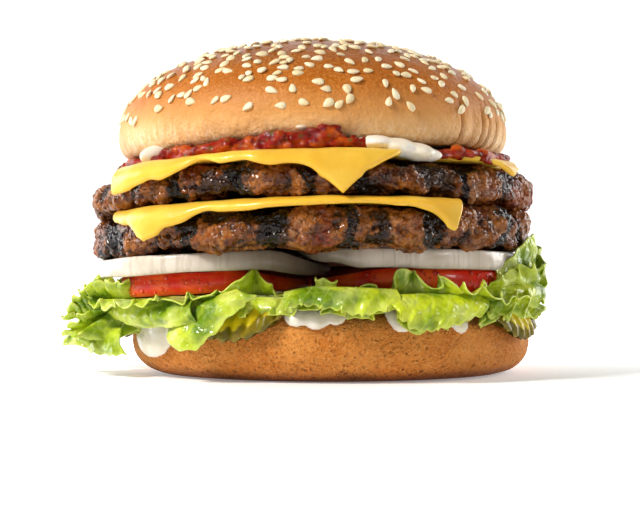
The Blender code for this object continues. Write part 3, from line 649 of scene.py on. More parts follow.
# Torn and folded ends of the leaves. Each runs from a line of points where it comes out of the stack to a
# line of points along its free margin: azimuth, radius and height in millimetres.
FLAPS = {
    "lettuce_diagonal_fold": (
        "lettuce_under_front", 2.6, 0.5, 3,
        [(-24.7, 60, 26.1), (-33.0, 61, 23.9), (-39.2, 62, 20.2), (-44.5, 63, 15.9)],
        [(-18.8, 63.5, 24.1), (-23.4, 65, 20.0), (-28.6, 66.5, 14.2), (-33.3, 67, 9.8), (-39.1, 66.5, 9.6)],
    ),
    "lettuce_rolled_fold": (
        "lettuce_under_left", 4.6, 0.4, 2,
        [(-68, 62, 25.2), (-58.4, 61, 25.0), (-47.8, 60.5, 24.6), (-36, 61, 24.6)],
        [(-64.4, 68, 19.0), (-53.2, 67.5, 16.8), (-43.0, 67, 16.2), (-33.0, 66, 17.0)],
    ),
    "lettuce_left_frill": (
        "lettuce_over_left", 1.5, 1.4, 6,
        [(-58.4, 64, 24.4), (-66.0, 66, 23.4), (-75.8, 67, 21.1), (-84.6, 67, 18.8)],
        [(-56.9, 69, 30.0), (-63.2, 73, 30.3), (-68.1, 76, 28.7), (-73.3, 78, 24.6), (-78.1, 78.5, 20.4)],
    ),
    "lettuce_left_tip": (
        "lettuce_under_left", 1.8, 1.2, 5,
        [(-64.3, 65, 22.6), (-72.0, 66, 21.0), (-76.8, 67, 18.2), (-82.2, 65, 14.8)],
        [(-68.7, 75.5, 21.8), (-73.9, 79.5, 16.2), (-75.0, 77, 13.6), (-73.1, 71, 13.2), (-72.0, 66, 12.0)],
    ),
    "lettuce_hanging_end": (
        "lettuce_under_left", 1.4, 0.6, 3,
        [(-80.0, 70, 16.5), (-71.5, 68.5, 16.4), (-63.1, 66, 16.0)],
        [(-75.9, 73, 8.6), (-67.3, 70.5, 7.4), (-60.0, 67.5, 7.6)],
    ),
    "lettuce_front_lip": (
        "lettuce_under_front", 3.4, 0.7, 5,
        [(13.0, 59, 23.9), (22.9, 59.5, 24.6), (30.2, 60, 24.8), (43.2, 60, 25.0)],
        [(16.2, 64.0, 18.6), (20.4, 65.5, 14.9), (27.8, 65.5, 15.8), (38.5, 64, 19.2)],
    ),
    "lettuce_front_fold": (
        "lettuce_over_front", 2.4, 0.8, 6,
        [(-12.5, 58, 25.0), (-6, 58.5, 26.2), (1, 58.5, 26.2), (8, 58.5, 26.0), (17, 58.5, 25.6)],
        [(-11.7, 63, 20.3), (-7.6, 64, 21.6), (-3, 64, 21.0), (2, 64.5, 20.0), (7, 64.5, 18.8), (12.4, 64, 20.2), (17, 63.5, 20.6)],
    ),
    "lettuce_right_tip": (
        "lettuce_over_right", 1.2, 0.5, 2,
        [(50.0, 58, 27.5), (57.0, 59, 27.0), (66.0, 60, 26.5), (74.0, 60, 27.0)],
        [(50.5, 59.5, 31.8), (57.5, 61.5, 36.5), (66.0, 63.0, 42.0), (72.0, 62.0, 33.5)],
    ),
    "lettuce_right_rosette": (
        "lettuce_over_right", 2.6, 1.7, 3.5,
        [(42.3, 58, 26.2), (51.3, 60, 27.9), (57.6, 61.5, 28.3), (66.9, 63, 28.5)],
        [(41.1, 62.0, 20.9), (46.6, 64.5, 18.6), (52.5, 65.5, 20.0), (61.6, 65.5, 23.0), (69.6, 65.0, 24.4)],
    ),
    "lettuce_right_frill": (
        "lettuce_over_right", 1.5, 1.6, 3.5,
        [(44.3, 59, 26.0), (54.3, 60, 26.0), (66.6, 61.5, 26.0), (76.9, 62, 26.5)],
        [(46.1, 63.0, 29.7), (53.6, 64, 32.0), (62.5, 65, 33.5), (70.6, 64.0, 31.0)],
    ),
}


def between(points, share):
    """A point on the smooth line through some places, given as azimuth, radius and height."""
    place = min(share, 0.9999) * (len(points) - 1)
    first = int(place)
    share = place - first
    near = [Vector(points[min(max(i, 0), len(points) - 1)]) for i in range(first - 1, first + 3)]
    bend = share * share
    line = 2 * near[1] + (near[2] - near[0]) * share + (2 * near[0] - 5 * near[1] + 4 * near[2] - near[3]) * bend
    return (line + (3 * near[1] - near[0] - 3 * near[2] + near[3]) * bend * share) / 2


def flap(belly, frill, waves, attached, free):
    """One end of a leaf, bellied outwards and frilled along its margin."""
    def place(u, v):
        azimuth, radius, height = between(attached, u).lerp(between(free, u), v)
        fold = TURN * waves * u + radius
        radius += belly * math.sin(math.pi * min(1.0, 0.15 + 0.85 * v)) + frill * v**1.5 * math.sin(fold)
        azimuth += 0.8 * frill * v**2 * math.cos(fold)
        height += 0.5 * frill * v**3 * math.sin(2.3 * fold)
        here = spot(azimuth, radius * MM, height * MM)
        crumple = (0.8 * wave(here, 6 * MM, 2) + 0.14 * wave(here, 2.2 * MM, 2)) * MM
        vein = abs(math.sin(0.5 * fold + 0.5 * wave(here, 8 * MM)))
        rib = (1 - blend(0.0, 0.16, vein)) * (1 - 0.6 * v)
        return here + Vector((here.x, here.y, 0)).normalized() * (crumple - 0.15 * MM * rib), 0.35 + 0.65 * v, rib

    return skin(90, 34, place, ["margin", "rib"])


for name, (node, *form) in FLAPS.items():
    thicken(add_piece(name, flap(*form), LEAF, "lettuce", node))

# Tomato: ripe slices that lie side by side, cut across, with a wet skin round the rim and drops of water
# on it. Where two slices meet, the inner side is pressed thinner.
TOMATO_BOTTOM = 25.0 * MM
TOMATO_TOP = 31.38 * MM


def slab_outline(radius, bottom, top, rim, face_steps, rim_steps, fullness=2.0):
    """The profile of a flat round slice whose side bulges out by rim, in a half ellipse or a fuller curve."""
    inner = radius - rim
    half = (top - bottom) / 2
    rings = [inner * (i / face_steps) ** 0.6 for i in range(face_steps)]
    profile = [(ring, top) for ring in rings]
    for i in range(rim_steps + 1):
        angle = math.pi * i / rim_steps
        out = math.sin(angle) ** (2 / fullness) if 0 < i < rim_steps else 0.0
        rise = math.copysign(abs(math.cos(angle)) ** (2 / fullness), math.cos(angle))
        profile.append((inner + rim * out, bottom + half + half * rise))
    return profile + [(ring, bottom) for ring in reversed(rings)]


def tomato(x, y, radius, inner):
    """One slice: skin round the rim, and flesh with seed chambers on its cut faces."""
    middle = Vector((x, y, 0)) * MM
    pressed = spot(inner, 1, 0)

    def relief(azimuth, point, outward):
        share = (point.z - TOMATO_BOTTOM) / (TOMATO_TOP - TOMATO_BOTTOM)
        inward = point.dot(pressed) / (radius * MM)
        across = math.hypot(point.x, point.y) / (radius * MM)
        flat = 1 - blend(0.9, 0.97, across)
        chamber = flat * blend(0.25, 0.45, across) * (0.5 + 0.5 * math.cos(math.radians(5 * azimuth))) ** 2
        swell = 0.35 * wave(point + middle, 14 * MM) * (1 - flat) + 0.05 * wave(point, 1.5 * MM, 2)
        point = point + outward * (swell - 0.45 * chamber) * MM
        point.z -= 3.0 * MM * blend(0.2, 1.0, inward) * share
        return point + middle, 1 - blend(0.9, 0.96, across), chamber

    profile = slab_outline(radius * MM, TOMATO_BOTTOM, TOMATO_TOP, 1.6 * MM, 16, 26)
    return turned(profile, 200, relief, ["cut", "chamber"])


def tomato_finish():
    """Deep red skin with paler streaks, and softer orange-red flesh on the cut faces."""
    fruit = Finish("tomato", 0.35, 0.4, 0.2, glow=0.15, glow_depth=2 * MM, glow_tint=(1, 0.15, 0.05))
    fruit.shader.inputs["Coat Roughness"].default_value = 0.14
    skin_colour = fruit.mix(fruit.step(fruit.grain(8 * MM, 3), 0.35, 0.68), paint("E02404"), paint("F66018"))
    streaks = fruit.grain(1.0 * MM, 2, (1, 1, 0.12))
    skin_colour = fruit.mix(fruit.step(streaks, 0.5, 0.8, 0, 0.3), skin_colour, paint("F0703C"))
    flesh = fruit.mix(fruit.step(fruit.grain(2 * MM, 3), 0.35, 0.65), paint("D8401F"), paint("EE7A4C"))
    flesh = fruit.mix(fruit.mark("chamber"), flesh, paint("C8541C"))
    fruit.raise_by(fruit.grain(1.6 * MM, 2), 0.12 * MM)
    return fruit.done(fruit.mix(fruit.mark("cut"), skin_colour, flesh))


TOMATO = tomato_finish()
for name, place in TOMATOES.items():
    add_piece(name + "_slice", tomato(*place), TOMATO, "tomato", name)

# Water drops that cling to the tomato's skin: slice, first and last azimuth about its middle, how many.
DEW = [("tomato_left", -75, 8, 46), ("tomato_right", -30, 20, 26), ("tomato_right", 30, 78, 40), ("tomato_back", 90, 240, 60)]


def dew(name, first, last, count):
    """Flattened beads of several sizes on the side of one slice."""
    x, y, radius, inner = TOMATOES[name]
    draw = random.Random(count)
    bm = bmesh.new()
    for _ in range(count):
        azimuth = draw.uniform(first, last)
        level = draw.uniform(-0.8, 0.85)
        size = draw.choice((0.28, 0.34, 0.42, 0.55, 0.7)) * MM
        out = (radius - 0.05) * MM - 1.6 * MM * (1 - math.sqrt(1 - level * level))
        place = Vector((x, y, 0)) * MM + spot(azimuth, out, (TOMATO_TOP + TOMATO_BOTTOM) / 2 + level * 2.9 * MM)
        turn = Matrix.Rotation(math.radians(azimuth), 4, "Z")
        flat = Matrix.Diagonal((size, 0.7 * size, size * 1.08, 1))
        bmesh.ops.create_icosphere(bm, subdivisions=2, radius=1.0, matrix=Matrix.Translation(place) @ turn @ flat)
    return bm


def water_finish():
    """Water beads: the red of the skin seen through them, under a mirror-bright surface."""
    water = Finish("water", 0.15, 0.6, 0.3)
    water.shader.inputs["Coat Roughness"].default_value = 0.02
    return water.done(water.mix(water.step(water.height(), 26 * MM, 31 * MM), paint("E2441C"), paint("B01C06")))


WATER = water_finish()
for index, (name, *spread) in enumerate(DEW):
    add_piece(f"{name}_dew_{index}", dew(name, *spread), WATER, "tomato", name)

# Onion: thick slices of white onion. Each is a nest of rings, and its outer ring shows fine upright
# lines and lets the light through.
ONION_BOTTOM = 31.4 * MM
ONION_TOP = 36.6 * MM
ONION_RING = 4.2 * MM
ONIONS = {
    "onion_left": (-33.7, -19, 33.4, 90),
    "onion_right": (20.4, -19, 32.7, -90),
    "onion_back": (-6.5, 34, 25.6, 0),
}


def onion(x, y, radius, inner):
    """One slice: the left one dips where the right one crosses it, and the right one thins to a wedge."""
    middle = Vector((x, y, 0)) * MM

    def relief(azimuth, point, outward):
        across = math.hypot(point.x, point.y)
        ring = (radius * MM - across) / ONION_RING + 0.12 * wave(point, 20 * MM)
        groove = bump(ring - round(ring), 0.0, 0.13) * (1 - blend(radius * MM - 2 * MM, radius * MM - 1 * MM, across))
        lines = 0.07 * wave(Vector((azimuth * 2.2 * MM, 0, 3 * point.z / 40)), 2.4 * MM, 2)
        point = point + outward * (lines - 0.5 * groove + 0.3 * wave(point, 15 * MM)) * MM
        place = point + middle
        share = (place.z - ONION_BOTTOM) / (ONION_TOP - ONION_BOTTOM)
        crossing = 4.2 * MM * blend(-18 * MM, -1 * MM, place.x)
        if inner > 0:
            place.z -= share * crossing + (1 - share) * 2.2 * MM * blend(-22 * MM, -6 * MM, place.x)
        elif inner < 0:
            wedge = 5.8 * MM - crossing if place.x < 0 else 1.6 * MM * (1 - blend(0, 8 * MM, place.x))
            place.z += (1 - share) * min(wedge, 4.6 * MM)
        # The last mark is painted shade, strongest in the middle of the front where the slices cross.
        return place, groove, bump(place.x, -14 * MM, 30 * MM) * (1 - blend(-30 * MM, -10 * MM, place.y))

    profile = slab_outline(radius * MM, ONION_BOTTOM, ONION_TOP, 0.9 * MM, 60, 22)
    return turned(profile, 260, relief, ["groove", "wet"])


def onion_finish():
    """Moist white, with faint upright lines, a grey-green shade between the rings, and painted shade darkening the
    middle of the front where the slices cross.
    """
    bulb = Finish("onion", 0.3, 0.5, 0.3, glow=0.4, glow_depth=2.5 * MM, glow_tint=(1, 0.92, 0.8))
    lines = bulb.grain(1.3 * MM, 3, (1, 1, 0.06))
    colour = bulb.mix(bulb.step(bulb.grain(9 * MM, 2), 0.35, 0.65), paint("E6DACB"), paint("D0C2AF"))
    colour = bulb.mix(bulb.step(lines, 0.45, 0.7, 0, 0.55), colour, paint("B4A792"))
    colour = bulb.mix(bulb.sum(bulb.mark("groove"), 0.7, "MULTIPLY"), colour, paint("B9BC9A"))
    # Painted shade: darker in the middle of the front, where the slices cross under the patty.
    colour = bulb.mix(bulb.sum(bulb.mark("wet"), 0.85, "MULTIPLY"), colour, paint("7E6E58"))
    bulb.raise_by(lines, 0.15 * MM)
    return bulb.done(colour)


ONION = onion_finish()
for name, place in ONIONS.items():
    add_piece(name + "_slice", onion(*place), ONION, "onion", name)

# Beef patties: coarse minced beef, flame-grilled. The crumbly side shows lumps with crevices between
# them, dark bars where it lay on the grill, and a greasy shine.
PATTY_RIM = 5.6 * MM
PATTY_FULLNESS = 2.7
LOWER_PATTY = {"centre": -4.95 * MM, "radius": 65.3 * MM, "bottom": 37 * MM, "top": 47.9 * MM, "phase": 0.6}
LOWER_PATTY["juice"] = [(-84, 26), (3, 8), (-120, 20)]
UPPER_PATTY = {"centre": -6.75 * MM, "radius": 65 * MM, "bottom": 50.9 * MM, "top": 60.6 * MM, "phase": 2.1}
UPPER_PATTY["juice"] = [(76, 30), (-26, 9), (130, 24)]

# Grill bars run from front to back: their place across the patty and half width, in millimetres.
LOWER_BARS = [(-62, 6), (-39, 3.5), (-15.5, 4.2), (4, 3.2), (27.5, 3.4), (47.5, 3.2)]
UPPER_BARS = [(-43, 3.4), (-25.5, 5.2), (-6.5, 3.6), (8, 4.2), (36.5, 3.2)]


def patty_edge(patty, azimuth):
    """The uneven outline of a patty, as a radius."""
    angle = math.radians(azimuth)
    phase = patty["phase"]
    waves = 0.7 * math.sin(3 * angle + phase) + 0.5 * math.sin(7 * angle + 2 * phase)
    waves += 0.35 * math.sin(11 * angle + 5 * phase)
    return patty["radius"] + waves * MM


def patty_swell(patty, azimuth):
    """How much thicker the rim is, above and below: less where a corner of cheese presses on it."""
    if patty is LOWER_PATTY:
        above = 0.5 * bump(azimuth, -88, 30) - 0.4 * bump(azimuth, -46, 16) - 0.4 * bump(azimuth, 34, 16)
        return above * MM, 0.0
    above = 1.1 * bump(azimuth, -125, 38) + 0.8 * bump(azimuth, 132, 40) - 1.9 * bump(azimuth, 3, 26)
    above -= 1.7 * bump(azimuth, -53, 30)
    below = 2.0 * bump(azimuth, 88, 30) + 1.2 * bump(azimuth, -90, 24) + 1.8 * bump(abs(azimuth), 180, 26)
    return above * MM, below * MM


def patty(form, bars):
    """One patty: an uneven disc whose surface is minced meat."""
    middle = (form["bottom"] + form["top"]) / 2

    def relief(azimuth, point, outward):
        radius = math.hypot(point.x, point.y)
        edge = blend(0.55, 0.9, radius / form["radius"])
        stretched = radius * (1 + edge * (patty_edge(form, azimuth) / form["radius"] - 1))
        angle = math.radians(azimuth)
        pinch = 0.04 * math.sin(9 * angle + form["phase"]) + 0.03 * math.sin(5 * angle)
        level = (point.z - middle) * (1 - edge * (0.02 + abs(pinch)))
        above, below = patty_swell(form, azimuth)
        rim = blend(form["radius"] - 15 * MM, form["radius"] - PATTY_RIM, radius)
        level += (above if level > 0 else -below) * min(1.0, abs(level) / (3 * MM)) * rim
        place = spot(azimuth, stretched, middle + level, form["centre"])
        bent = place + 1.6 * MM * noise.noise_vector(place / (5 * MM)) + 0.7 * MM * noise.noise_vector(place / (1.7 * MM))
        near = noise.voronoi(bent / (4.2 * MM))[0][0]
        small = noise.voronoi(bent / (1.9 * MM))[0][0]
        strands = abs(wave(bent, 3.2 * MM, 3))
        lumps = 2.3 * wave(place, 11 * MM, 2) + 1.8 * (0.45 - near) + 0.7 * (0.5 - small)
        lumps += 0.6 * blend(0.0, 0.22, strands) - 0.4 + 0.2 * wave(place, 0.9 * MM, 2)
        bar = max(bump(place.x / MM + 3.2 * wave(place, 6 * MM, 2), *form_bar) for form_bar in bars)
        char = bar * blend(-0.75, 0.1, wave(place + outward, 6 * MM, 2))
        lumps -= 0.5 * bar
        # depth is 1 in the hollows between the lumps, where the finish paints shade.
        depth = 1 - blend(-0.9, 0.5, lumps)
        juice = sum(bump(azimuth, *spill) for spill in form["juice"]) * blend(-0.3, 0.3, wave(place, 5 * MM, 2))
        return place + outward * lumps * MM * (0.35 + 0.65 * rim), min(1.0, 1.5 * char), depth, juice

    inner = form["radius"] - PATTY_RIM
    rings = [inner * share for share in (0, 0.2, 0.4, 0.55, 0.68)]
    rings += [inner * (0.76 + 0.24 * i / 17) for i in range(17)]
    outline = slab_outline(form["radius"], form["bottom"], form["top"], PATTY_RIM, 1, 38, PATTY_FULLNESS)[1:-1]
    profile = [(ring, form["top"]) for ring in rings] + outline + [(ring, form["bottom"]) for ring in reversed(rings)]
    return turned(profile, 760, relief, ["char", "depth", "juice"])


def beef_finish():
    """Browned mince: reddish and grey browns, near black on the bars, painted shade near black in the crevices, pale
    crumbs partly a painted highlight, wet with grease.
    """
    beef = Finish("beef", 0.8, 0.7, 0.02, glow=0.03, glow_depth=1 * MM, glow_tint=(1, 0.3, 0.2))
    beef.shader.inputs["Coat Roughness"].default_value = 0.07
    patches = beef.grain(6 * MM, 5)
    crumbs = beef.grain(1.8 * MM, 5)
    colour = beef.mix(beef.step(patches, 0.36, 0.64), paint("602C0E"), paint("A86428"))
    # Pale crumbs: partly paler bits of mince, partly a painted highlight on them.
    colour = beef.mix(beef.step(crumbs, 0.5, 0.74, 0, 0.6), colour, paint("C68E56"))
    colour = beef.mix(beef.step(beef.grain(4 * MM, 3), 0.52, 0.7, 0, 0.55), colour, paint("7A2C0C"))
    colour = beef.mix(beef.step(beef.grain(9 * MM, 4), 0.54, 0.68, 0, 0.5), colour, paint("A2541A"))
    colour = beef.mix(beef.sum(beef.mark("juice"), 0.5, "MULTIPLY"), colour, paint("8A240A"))
    colour = beef.mix(beef.step(crumbs, 0.3, 0.5, 0.65, 0), colour, paint("2A1004"))
    # Painted shade: near black in the hollows between the lumps.
    colour = beef.mix(beef.step(beef.mark("depth"), 0.4, 1.0, 0, 0.88), colour, paint("1A0903"))
    char = beef.sum(beef.mark("char"), beef.step(crumbs, 0.3, 0.6, 0.8, 1.1), "MULTIPLY")
    colour = beef.mix(beef.step(char, 0.05, 0.8, 0, 0.97), colour, paint("0C0302"))
    beef.raise_by(beef.grain(1.9 * MM, 1), 1.5 * MM)
    greasy = beef.relief
    beef.raise_by(beef.cells(1.6 * MM), 0.6 * MM)
    beef.raise_by(beef.grain(1.2 * MM, 5), 1.4 * MM)
    return beef.done(colour, beef.step(crumbs, 0.3, 0.7, 0.6, 0.9), greasy)


BEEF = beef_finish()

# Cheese: square slices of soft cheddar-yellow cheese, warm enough to sag. They lie over the patties
# and their corners hang down over the edge.
CHEESE_SIDE = 87.7 * MM
CHEESE_HALF = 1.0 * MM
CHEESE_FORWARD = 12.2 * MM
CHEESE_BOW = 3.4 * MM
CHEESE_STRETCH = 0.3

# Each slice: the heading of its middle line, how far the square is turned about its own middle, and how
# far its left corner has slid forward and sagged.
LOWER_CHEESE = {"patty": LOWER_PATTY, "heading": -4.5, "twist": 0, "slide": 0, "sag": 0}
UPPER_CHEESE = {"patty": UPPER_PATTY, "heading": 8, "twist": 45, "slide": 20 * MM, "sag": 0.45}

# How much further the front rim hangs down between the corners: azimuth and millimetres.
LOWER_CHEESE["hang"] = [
    (-72, 0), (-64, 4.5), (-56.5, 6.2), (-53, 4.8), (-50, 3.2), (-48, 1.8), (-45, 0.9), (-42.4, 0.2), (-39, 0.6),
    (-36.4, 0.6), (-33.8, 1.2), (-31, 1.6), (-28, 1.3), (-25.5, 1.4), (-22.6, 2.6), (-19.5, 3.7), (-17, 4.6),
    (-14, 5.4), (-11.6, 5.7), (-8.8, 6.0), (-3, 6.3), (2.6, 5.7), (8, 4.6), (13.6, 3.2), (19.2, 2.1), (22, 1.1),
    (25, 0.5), (28, 0), (32, 0), (34, -0.6), (37, -2.6), (40, -5.0), (43, -3.4), (48, 0),
]
UPPER_CHEESE["hang"] = [
    (-82, -3.0), (-67, -4.8), (-59, -3.6), (-55, -1.4), (-52.5, 0.6), (-49.5, 0.6), (-44, 0.5), (-41, 0.6),
    (-38.5, 0.7), (-35.6, 1.5), (-33, 1.8), (-30.5, 2.0), (-28, 2.0), (-25, 1.4), (-22.5, 2.7), (-19.6, 4.4),
    (-16.7, 4.6), (-13.8, 4.3), (-10.8, 4.6), (-7.8, 3.9), (-5, 2.1), (-2.3, 0.4), (0.5, -0.9), (2.6, -1.4),
    (4.4, -1.7), (6.3, -1.5), (8, -1.1), (9.5, -1.4), (11, -1.6), (13, -1.5), (15, -0.7), (17.8, -0.1), (20.5, 0.1),
    (22.5, -0.4), (25, -3.2), (30, -3.6), (38, -2.4), (42, -0.4), (45, 4.0), (49, 6.4), (54, 8.4), (58.5, 10.2),
    (61, 8.6), (65, 3.0), (70, 0),
]


def over_patty(form, azimuth, reach, lift):
    """Radius and height of a point that lies reach out from a patty's axis, measured along its skin."""
    half = (form["top"] - form["bottom"]) / 2
    start = patty_edge(form, azimuth) - PATTY_RIM
    beyond = max(0.0, reach - start)
    fold = 7.2 * MM
    bend = min(beyond / fold, math.pi / 2)
    rest = max(0.0, beyond - fold * math.pi / 2)
    full = 2 / PATTY_FULLNESS
    radius = min(reach, start) + (PATTY_RIM + 0.4 * MM + lift) * math.sin(bend) ** full
    height = form["top"] - half + (half + lift) * max(0.0, math.cos(bend)) ** full - rest
    return radius, height


def cheese(form):
    """One slice, drawn over its patty."""
    patty_below = form["patty"]

    def place(u, v, side):
        spread = 1.35
        across = [math.sin(spread * (2 * share - 1)) / math.sin(spread) for share in (u, v)]
        x, y = [
            share * (CHEESE_SIDE / 2 + CHEESE_BOW * (1 - other**2) - 1.2 * MM * other**8)
            for share, other in (across, reversed(across))
        ]
        inward = (1 - max(abs(across[0]), abs(across[1]))) * CHEESE_SIDE / 2
        flat = Vector((x, y, 0))
        flat.rotate(Matrix.Rotation(math.radians(form["twist"]), 3, "Z"))
        tip = blend(0.15 * CHEESE_SIDE, 0.7 * CHEESE_SIDE, -flat.x)
        flat.x += 0.2 * form["slide"] * tip
        flat.y -= CHEESE_FORWARD + form["slide"] * tip
        flat.rotate(Matrix.Rotation(math.radians(form["heading"]), 3, "Z"))
        azimuth, reach = polar(flat)
        edge = patty_edge(patty_below, azimuth) - PATTY_RIM
        half = CHEESE_HALF * rim_height(inward, 1.1 * MM)
        near_rim = 1 - blend(1 * MM, 12 * MM, inward)
        reach += near_rim * listed(form["hang"], azimuth) * MM
        lift = CHEESE_HALF + GAP + 1.8 * MM * blend(edge - 1 * MM, edge + 6 * MM, reach)
        free = blend(edge - 8 * MM, edge + 2 * MM, reach)
        lift += (0.35 * wave(flat, 9 * MM, 2) + 0.2) * MM * free
        reach += (CHEESE_STRETCH + form["sag"] * tip) * max(0.0, reach - edge)
        bottom = over_patty(patty_below, azimuth, reach, lift + side * half)
        return spot(azimuth, *bottom, patty_below["centre"]), 1 - blend(0.3 * MM, 1.6 * MM, inward)

    return slab(190, 190, place, ["rim"])


def cheese_finish():
    """Smooth warm yellow with a soft shine, brighter where light passes through its rim."""
    cheddar = Finish("cheese", 0.36, 0.25, 0.35, glow=0.25, glow_depth=2.5 * MM, glow_tint=(1, 0.6, 0.1))
    colour = cheddar.mix(cheddar.step(cheddar.grain(12 * MM, 3), 0.35, 0.68), paint("EAB434"), paint("F2C84A"))
    colour = cheddar.mix(cheddar.sum(cheddar.mark("rim"), 0.5, "MULTIPLY"), colour, paint("FBC22E"))
    cheddar.raise_by(cheddar.grain(4 * MM, 3), 0.25 * MM)
    cheddar.raise_by(cheddar.grain(0.7 * MM, 2), 0.03 * MM)
    return cheddar.done(colour)


CHEESE = cheese_finish()
add_piece("patty_below", patty(LOWER_PATTY, LOWER_BARS), BEEF, "beef", "patty_lower")
add_piece("cheese_below", cheese(LOWER_CHEESE), CHEESE, "cheese", "cheese_lower")
add_piece("patty_above", patty(UPPER_PATTY, UPPER_BARS), BEEF, "beef", "patty_upper")
add_piece("cheese_above", cheese(UPPER_CHEESE), CHEESE, "cheese", "cheese_upper")

# Ketchup and relish: a dark red glossy layer under the crown, thick at the rim, with soft bits of
# pepper and gherkin in it, pushed aside where mayonnaise comes out.
RELISH_RADIUS = 56 * MM
RELISH_BOTTOM = 63.45 * MM
RELISH_TOP = 64.7 * MM
RELISH_RIM_TOP = 66.0 * MM
RELISH_RIM_START = 51.6 * MM
CROWN_CENTRE = -5.4 * MM

# Drops of mayonnaise pressed out under the crown: azimuth, how far out, height, half width, half height.
UPPER_DROPS = [
    (-51, 62.2, 65.3, 3.0, 2.6),
    (17.5, 63.0, 65.2, 5.8, 2.1),
    (23, 64.8, 64.0, 6.6, 2.6),
    (28.5, 65.4, 63.0, 6.0, 2.5),
    (32.5, 64.6, 62.4, 3.6, 1.9),
    (-3, 60.6, 69.4, 2.4, 0.7),
    (100, 59.6, 64.6, 6.0, 2.0),
    (-150, 59.8, 64.6, 6.0, 2.0),
]


def relish_notch(azimuth):
    """1 where a drop of mayonnaise has pushed the relish aside, 0 away from the drops."""
    notch = 0.0
    for drop in UPPER_DROPS:
        away = abs((azimuth - drop[0] + 180) % 360 - 180) - math.degrees(drop[3] / drop[1])
        notch = max(notch, 1 - blend(5, 12, away))
    return notch


def relish_edge(azimuth):
    """The uneven outline of the ketchup and relish."""
    angle = math.radians(azimuth)
    waves = 0.9 * math.sin(5 * angle + 0.4) + 0.6 * math.sin(9 * angle + 1.3)
    return RELISH_RADIUS + (waves + 2.0 * bump(azimuth, 6, 9)) * MM


def relish_relief(azimuth, point, outward):
    """Lumps where bits of vegetable lie under the glossy skin of the sauce."""
    radius = math.hypot(point.x, point.y)
    notch = relish_notch(azimuth)
    pull = (relish_edge(azimuth) - 8.4 * MM * notch) / RELISH_RADIUS - 1
    radius *= 1 + pull * blend(30 * MM, 54 * MM, radius)
    level = point.z - max(0.0, point.z - RELISH_TOP) * min(1.0, 3 * notch)
    place = spot(azimuth, radius, level, CROWN_CENTRE)
    rim = blend(50 * MM, 54 * MM, radius)
    bits = noise.voronoi((place + 0.6 * MM * noise.noise_vector(place / (2 * MM))) / (2.6 * MM))[0][0]
    lumps = 0.7 * (0.55 - bits) + 0.5 * wave(place, 5 * MM, 2)
    return place + outward * lumps * MM * rim, 1 - blend(0.2, 0.5, bits)


def relish():
    """The whole layer, dense at its rim."""
    half = (RELISH_RIM_TOP - RELISH_BOTTOM) / 2
    bulge = 1.6 * MM
    profile = [(RELISH_RIM_START * share, RELISH_TOP) for share in (0, 0.5, 0.8, 0.95)]
    profile += [(RELISH_RIM_START + i * 0.5 * MM, RELISH_RIM_TOP) for i in range(1, 6)]
    for i in range(17):
        angle = math.pi * i / 16
        radius = RELISH_RADIUS - bulge + bulge * math.sin(angle)
        profile.append((radius, RELISH_RIM_TOP - half + half * math.cos(angle)))
    profile += [(RELISH_RADIUS * share, RELISH_BOTTOM) for share in (0.94, 0.85, 0.5, 0)]
    return turned(profile, 620, relish_relief, ["bits"])


def relish_finish():
    """Deep glossy red, orange in patches, with green-brown bits."""
    sauce = Finish("relish", 0.4, 0.5, 0.04, glow=0.08, glow_depth=1.5 * MM, glow_tint=(1, 0.12, 0.04))
    colour = sauce.mix(sauce.step(sauce.grain(4 * MM, 3), 0.38, 0.64), paint("6C0802"), paint("9C1C04"))
    colour = sauce.mix(sauce.step(sauce.grain(5 * MM, 2), 0.46, 0.62, 0, 0.85), colour, paint("BE5410"))
    green = sauce.sum(sauce.mark("bits"), sauce.step(sauce.grain(3 * MM, 1), 0.52, 0.6), "MULTIPLY")
    colour = sauce.mix(sauce.sum(green, 0.8, "MULTIPLY"), colour, paint("5F5A24"))
    sauce.raise_by(sauce.grain(1.2 * MM, 3), 0.4 * MM)
    return sauce.done(colour)


RELISH = relish_finish()
add_piece("ketchup_and_relish", relish(), RELISH, "relish", "relish")

# Where it is pressed out: first and last azimuth, how far out, height and size of the lumps, in millimetres.
OOZE = [
    (-50, -30, 58.6, 64.0, 1.5),
    (-46, -28, 58.0, 65.4, 1.5),
    (-32, -6, 59.2, 64.2, 1.7),
    (-30, -6, 58.4, 66.0, 1.7),
    (-12, 10, 59.4, 64.8, 1.8),
    (-13, 8, 58.8, 67.0, 1.8),
    (0, 8, 58.6, 68.6, 1.7),
    (8, 19, 59.0, 65.4, 1.6),
    (34, 44, 61.6, 63.0, 1.7),
    (40, 62, 62.4, 64.0, 1.8),
    (46, 60, 64.0, 62.4, 1.3),
    (112, 140, 58.4, 64.8, 1.7),
    (165, 200, 58.6, 65.0, 1.7),
    (-135, -105, 58.4, 64.6, 1.7),
    (-95, -75, 57.6, 64.2, 1.4),
]


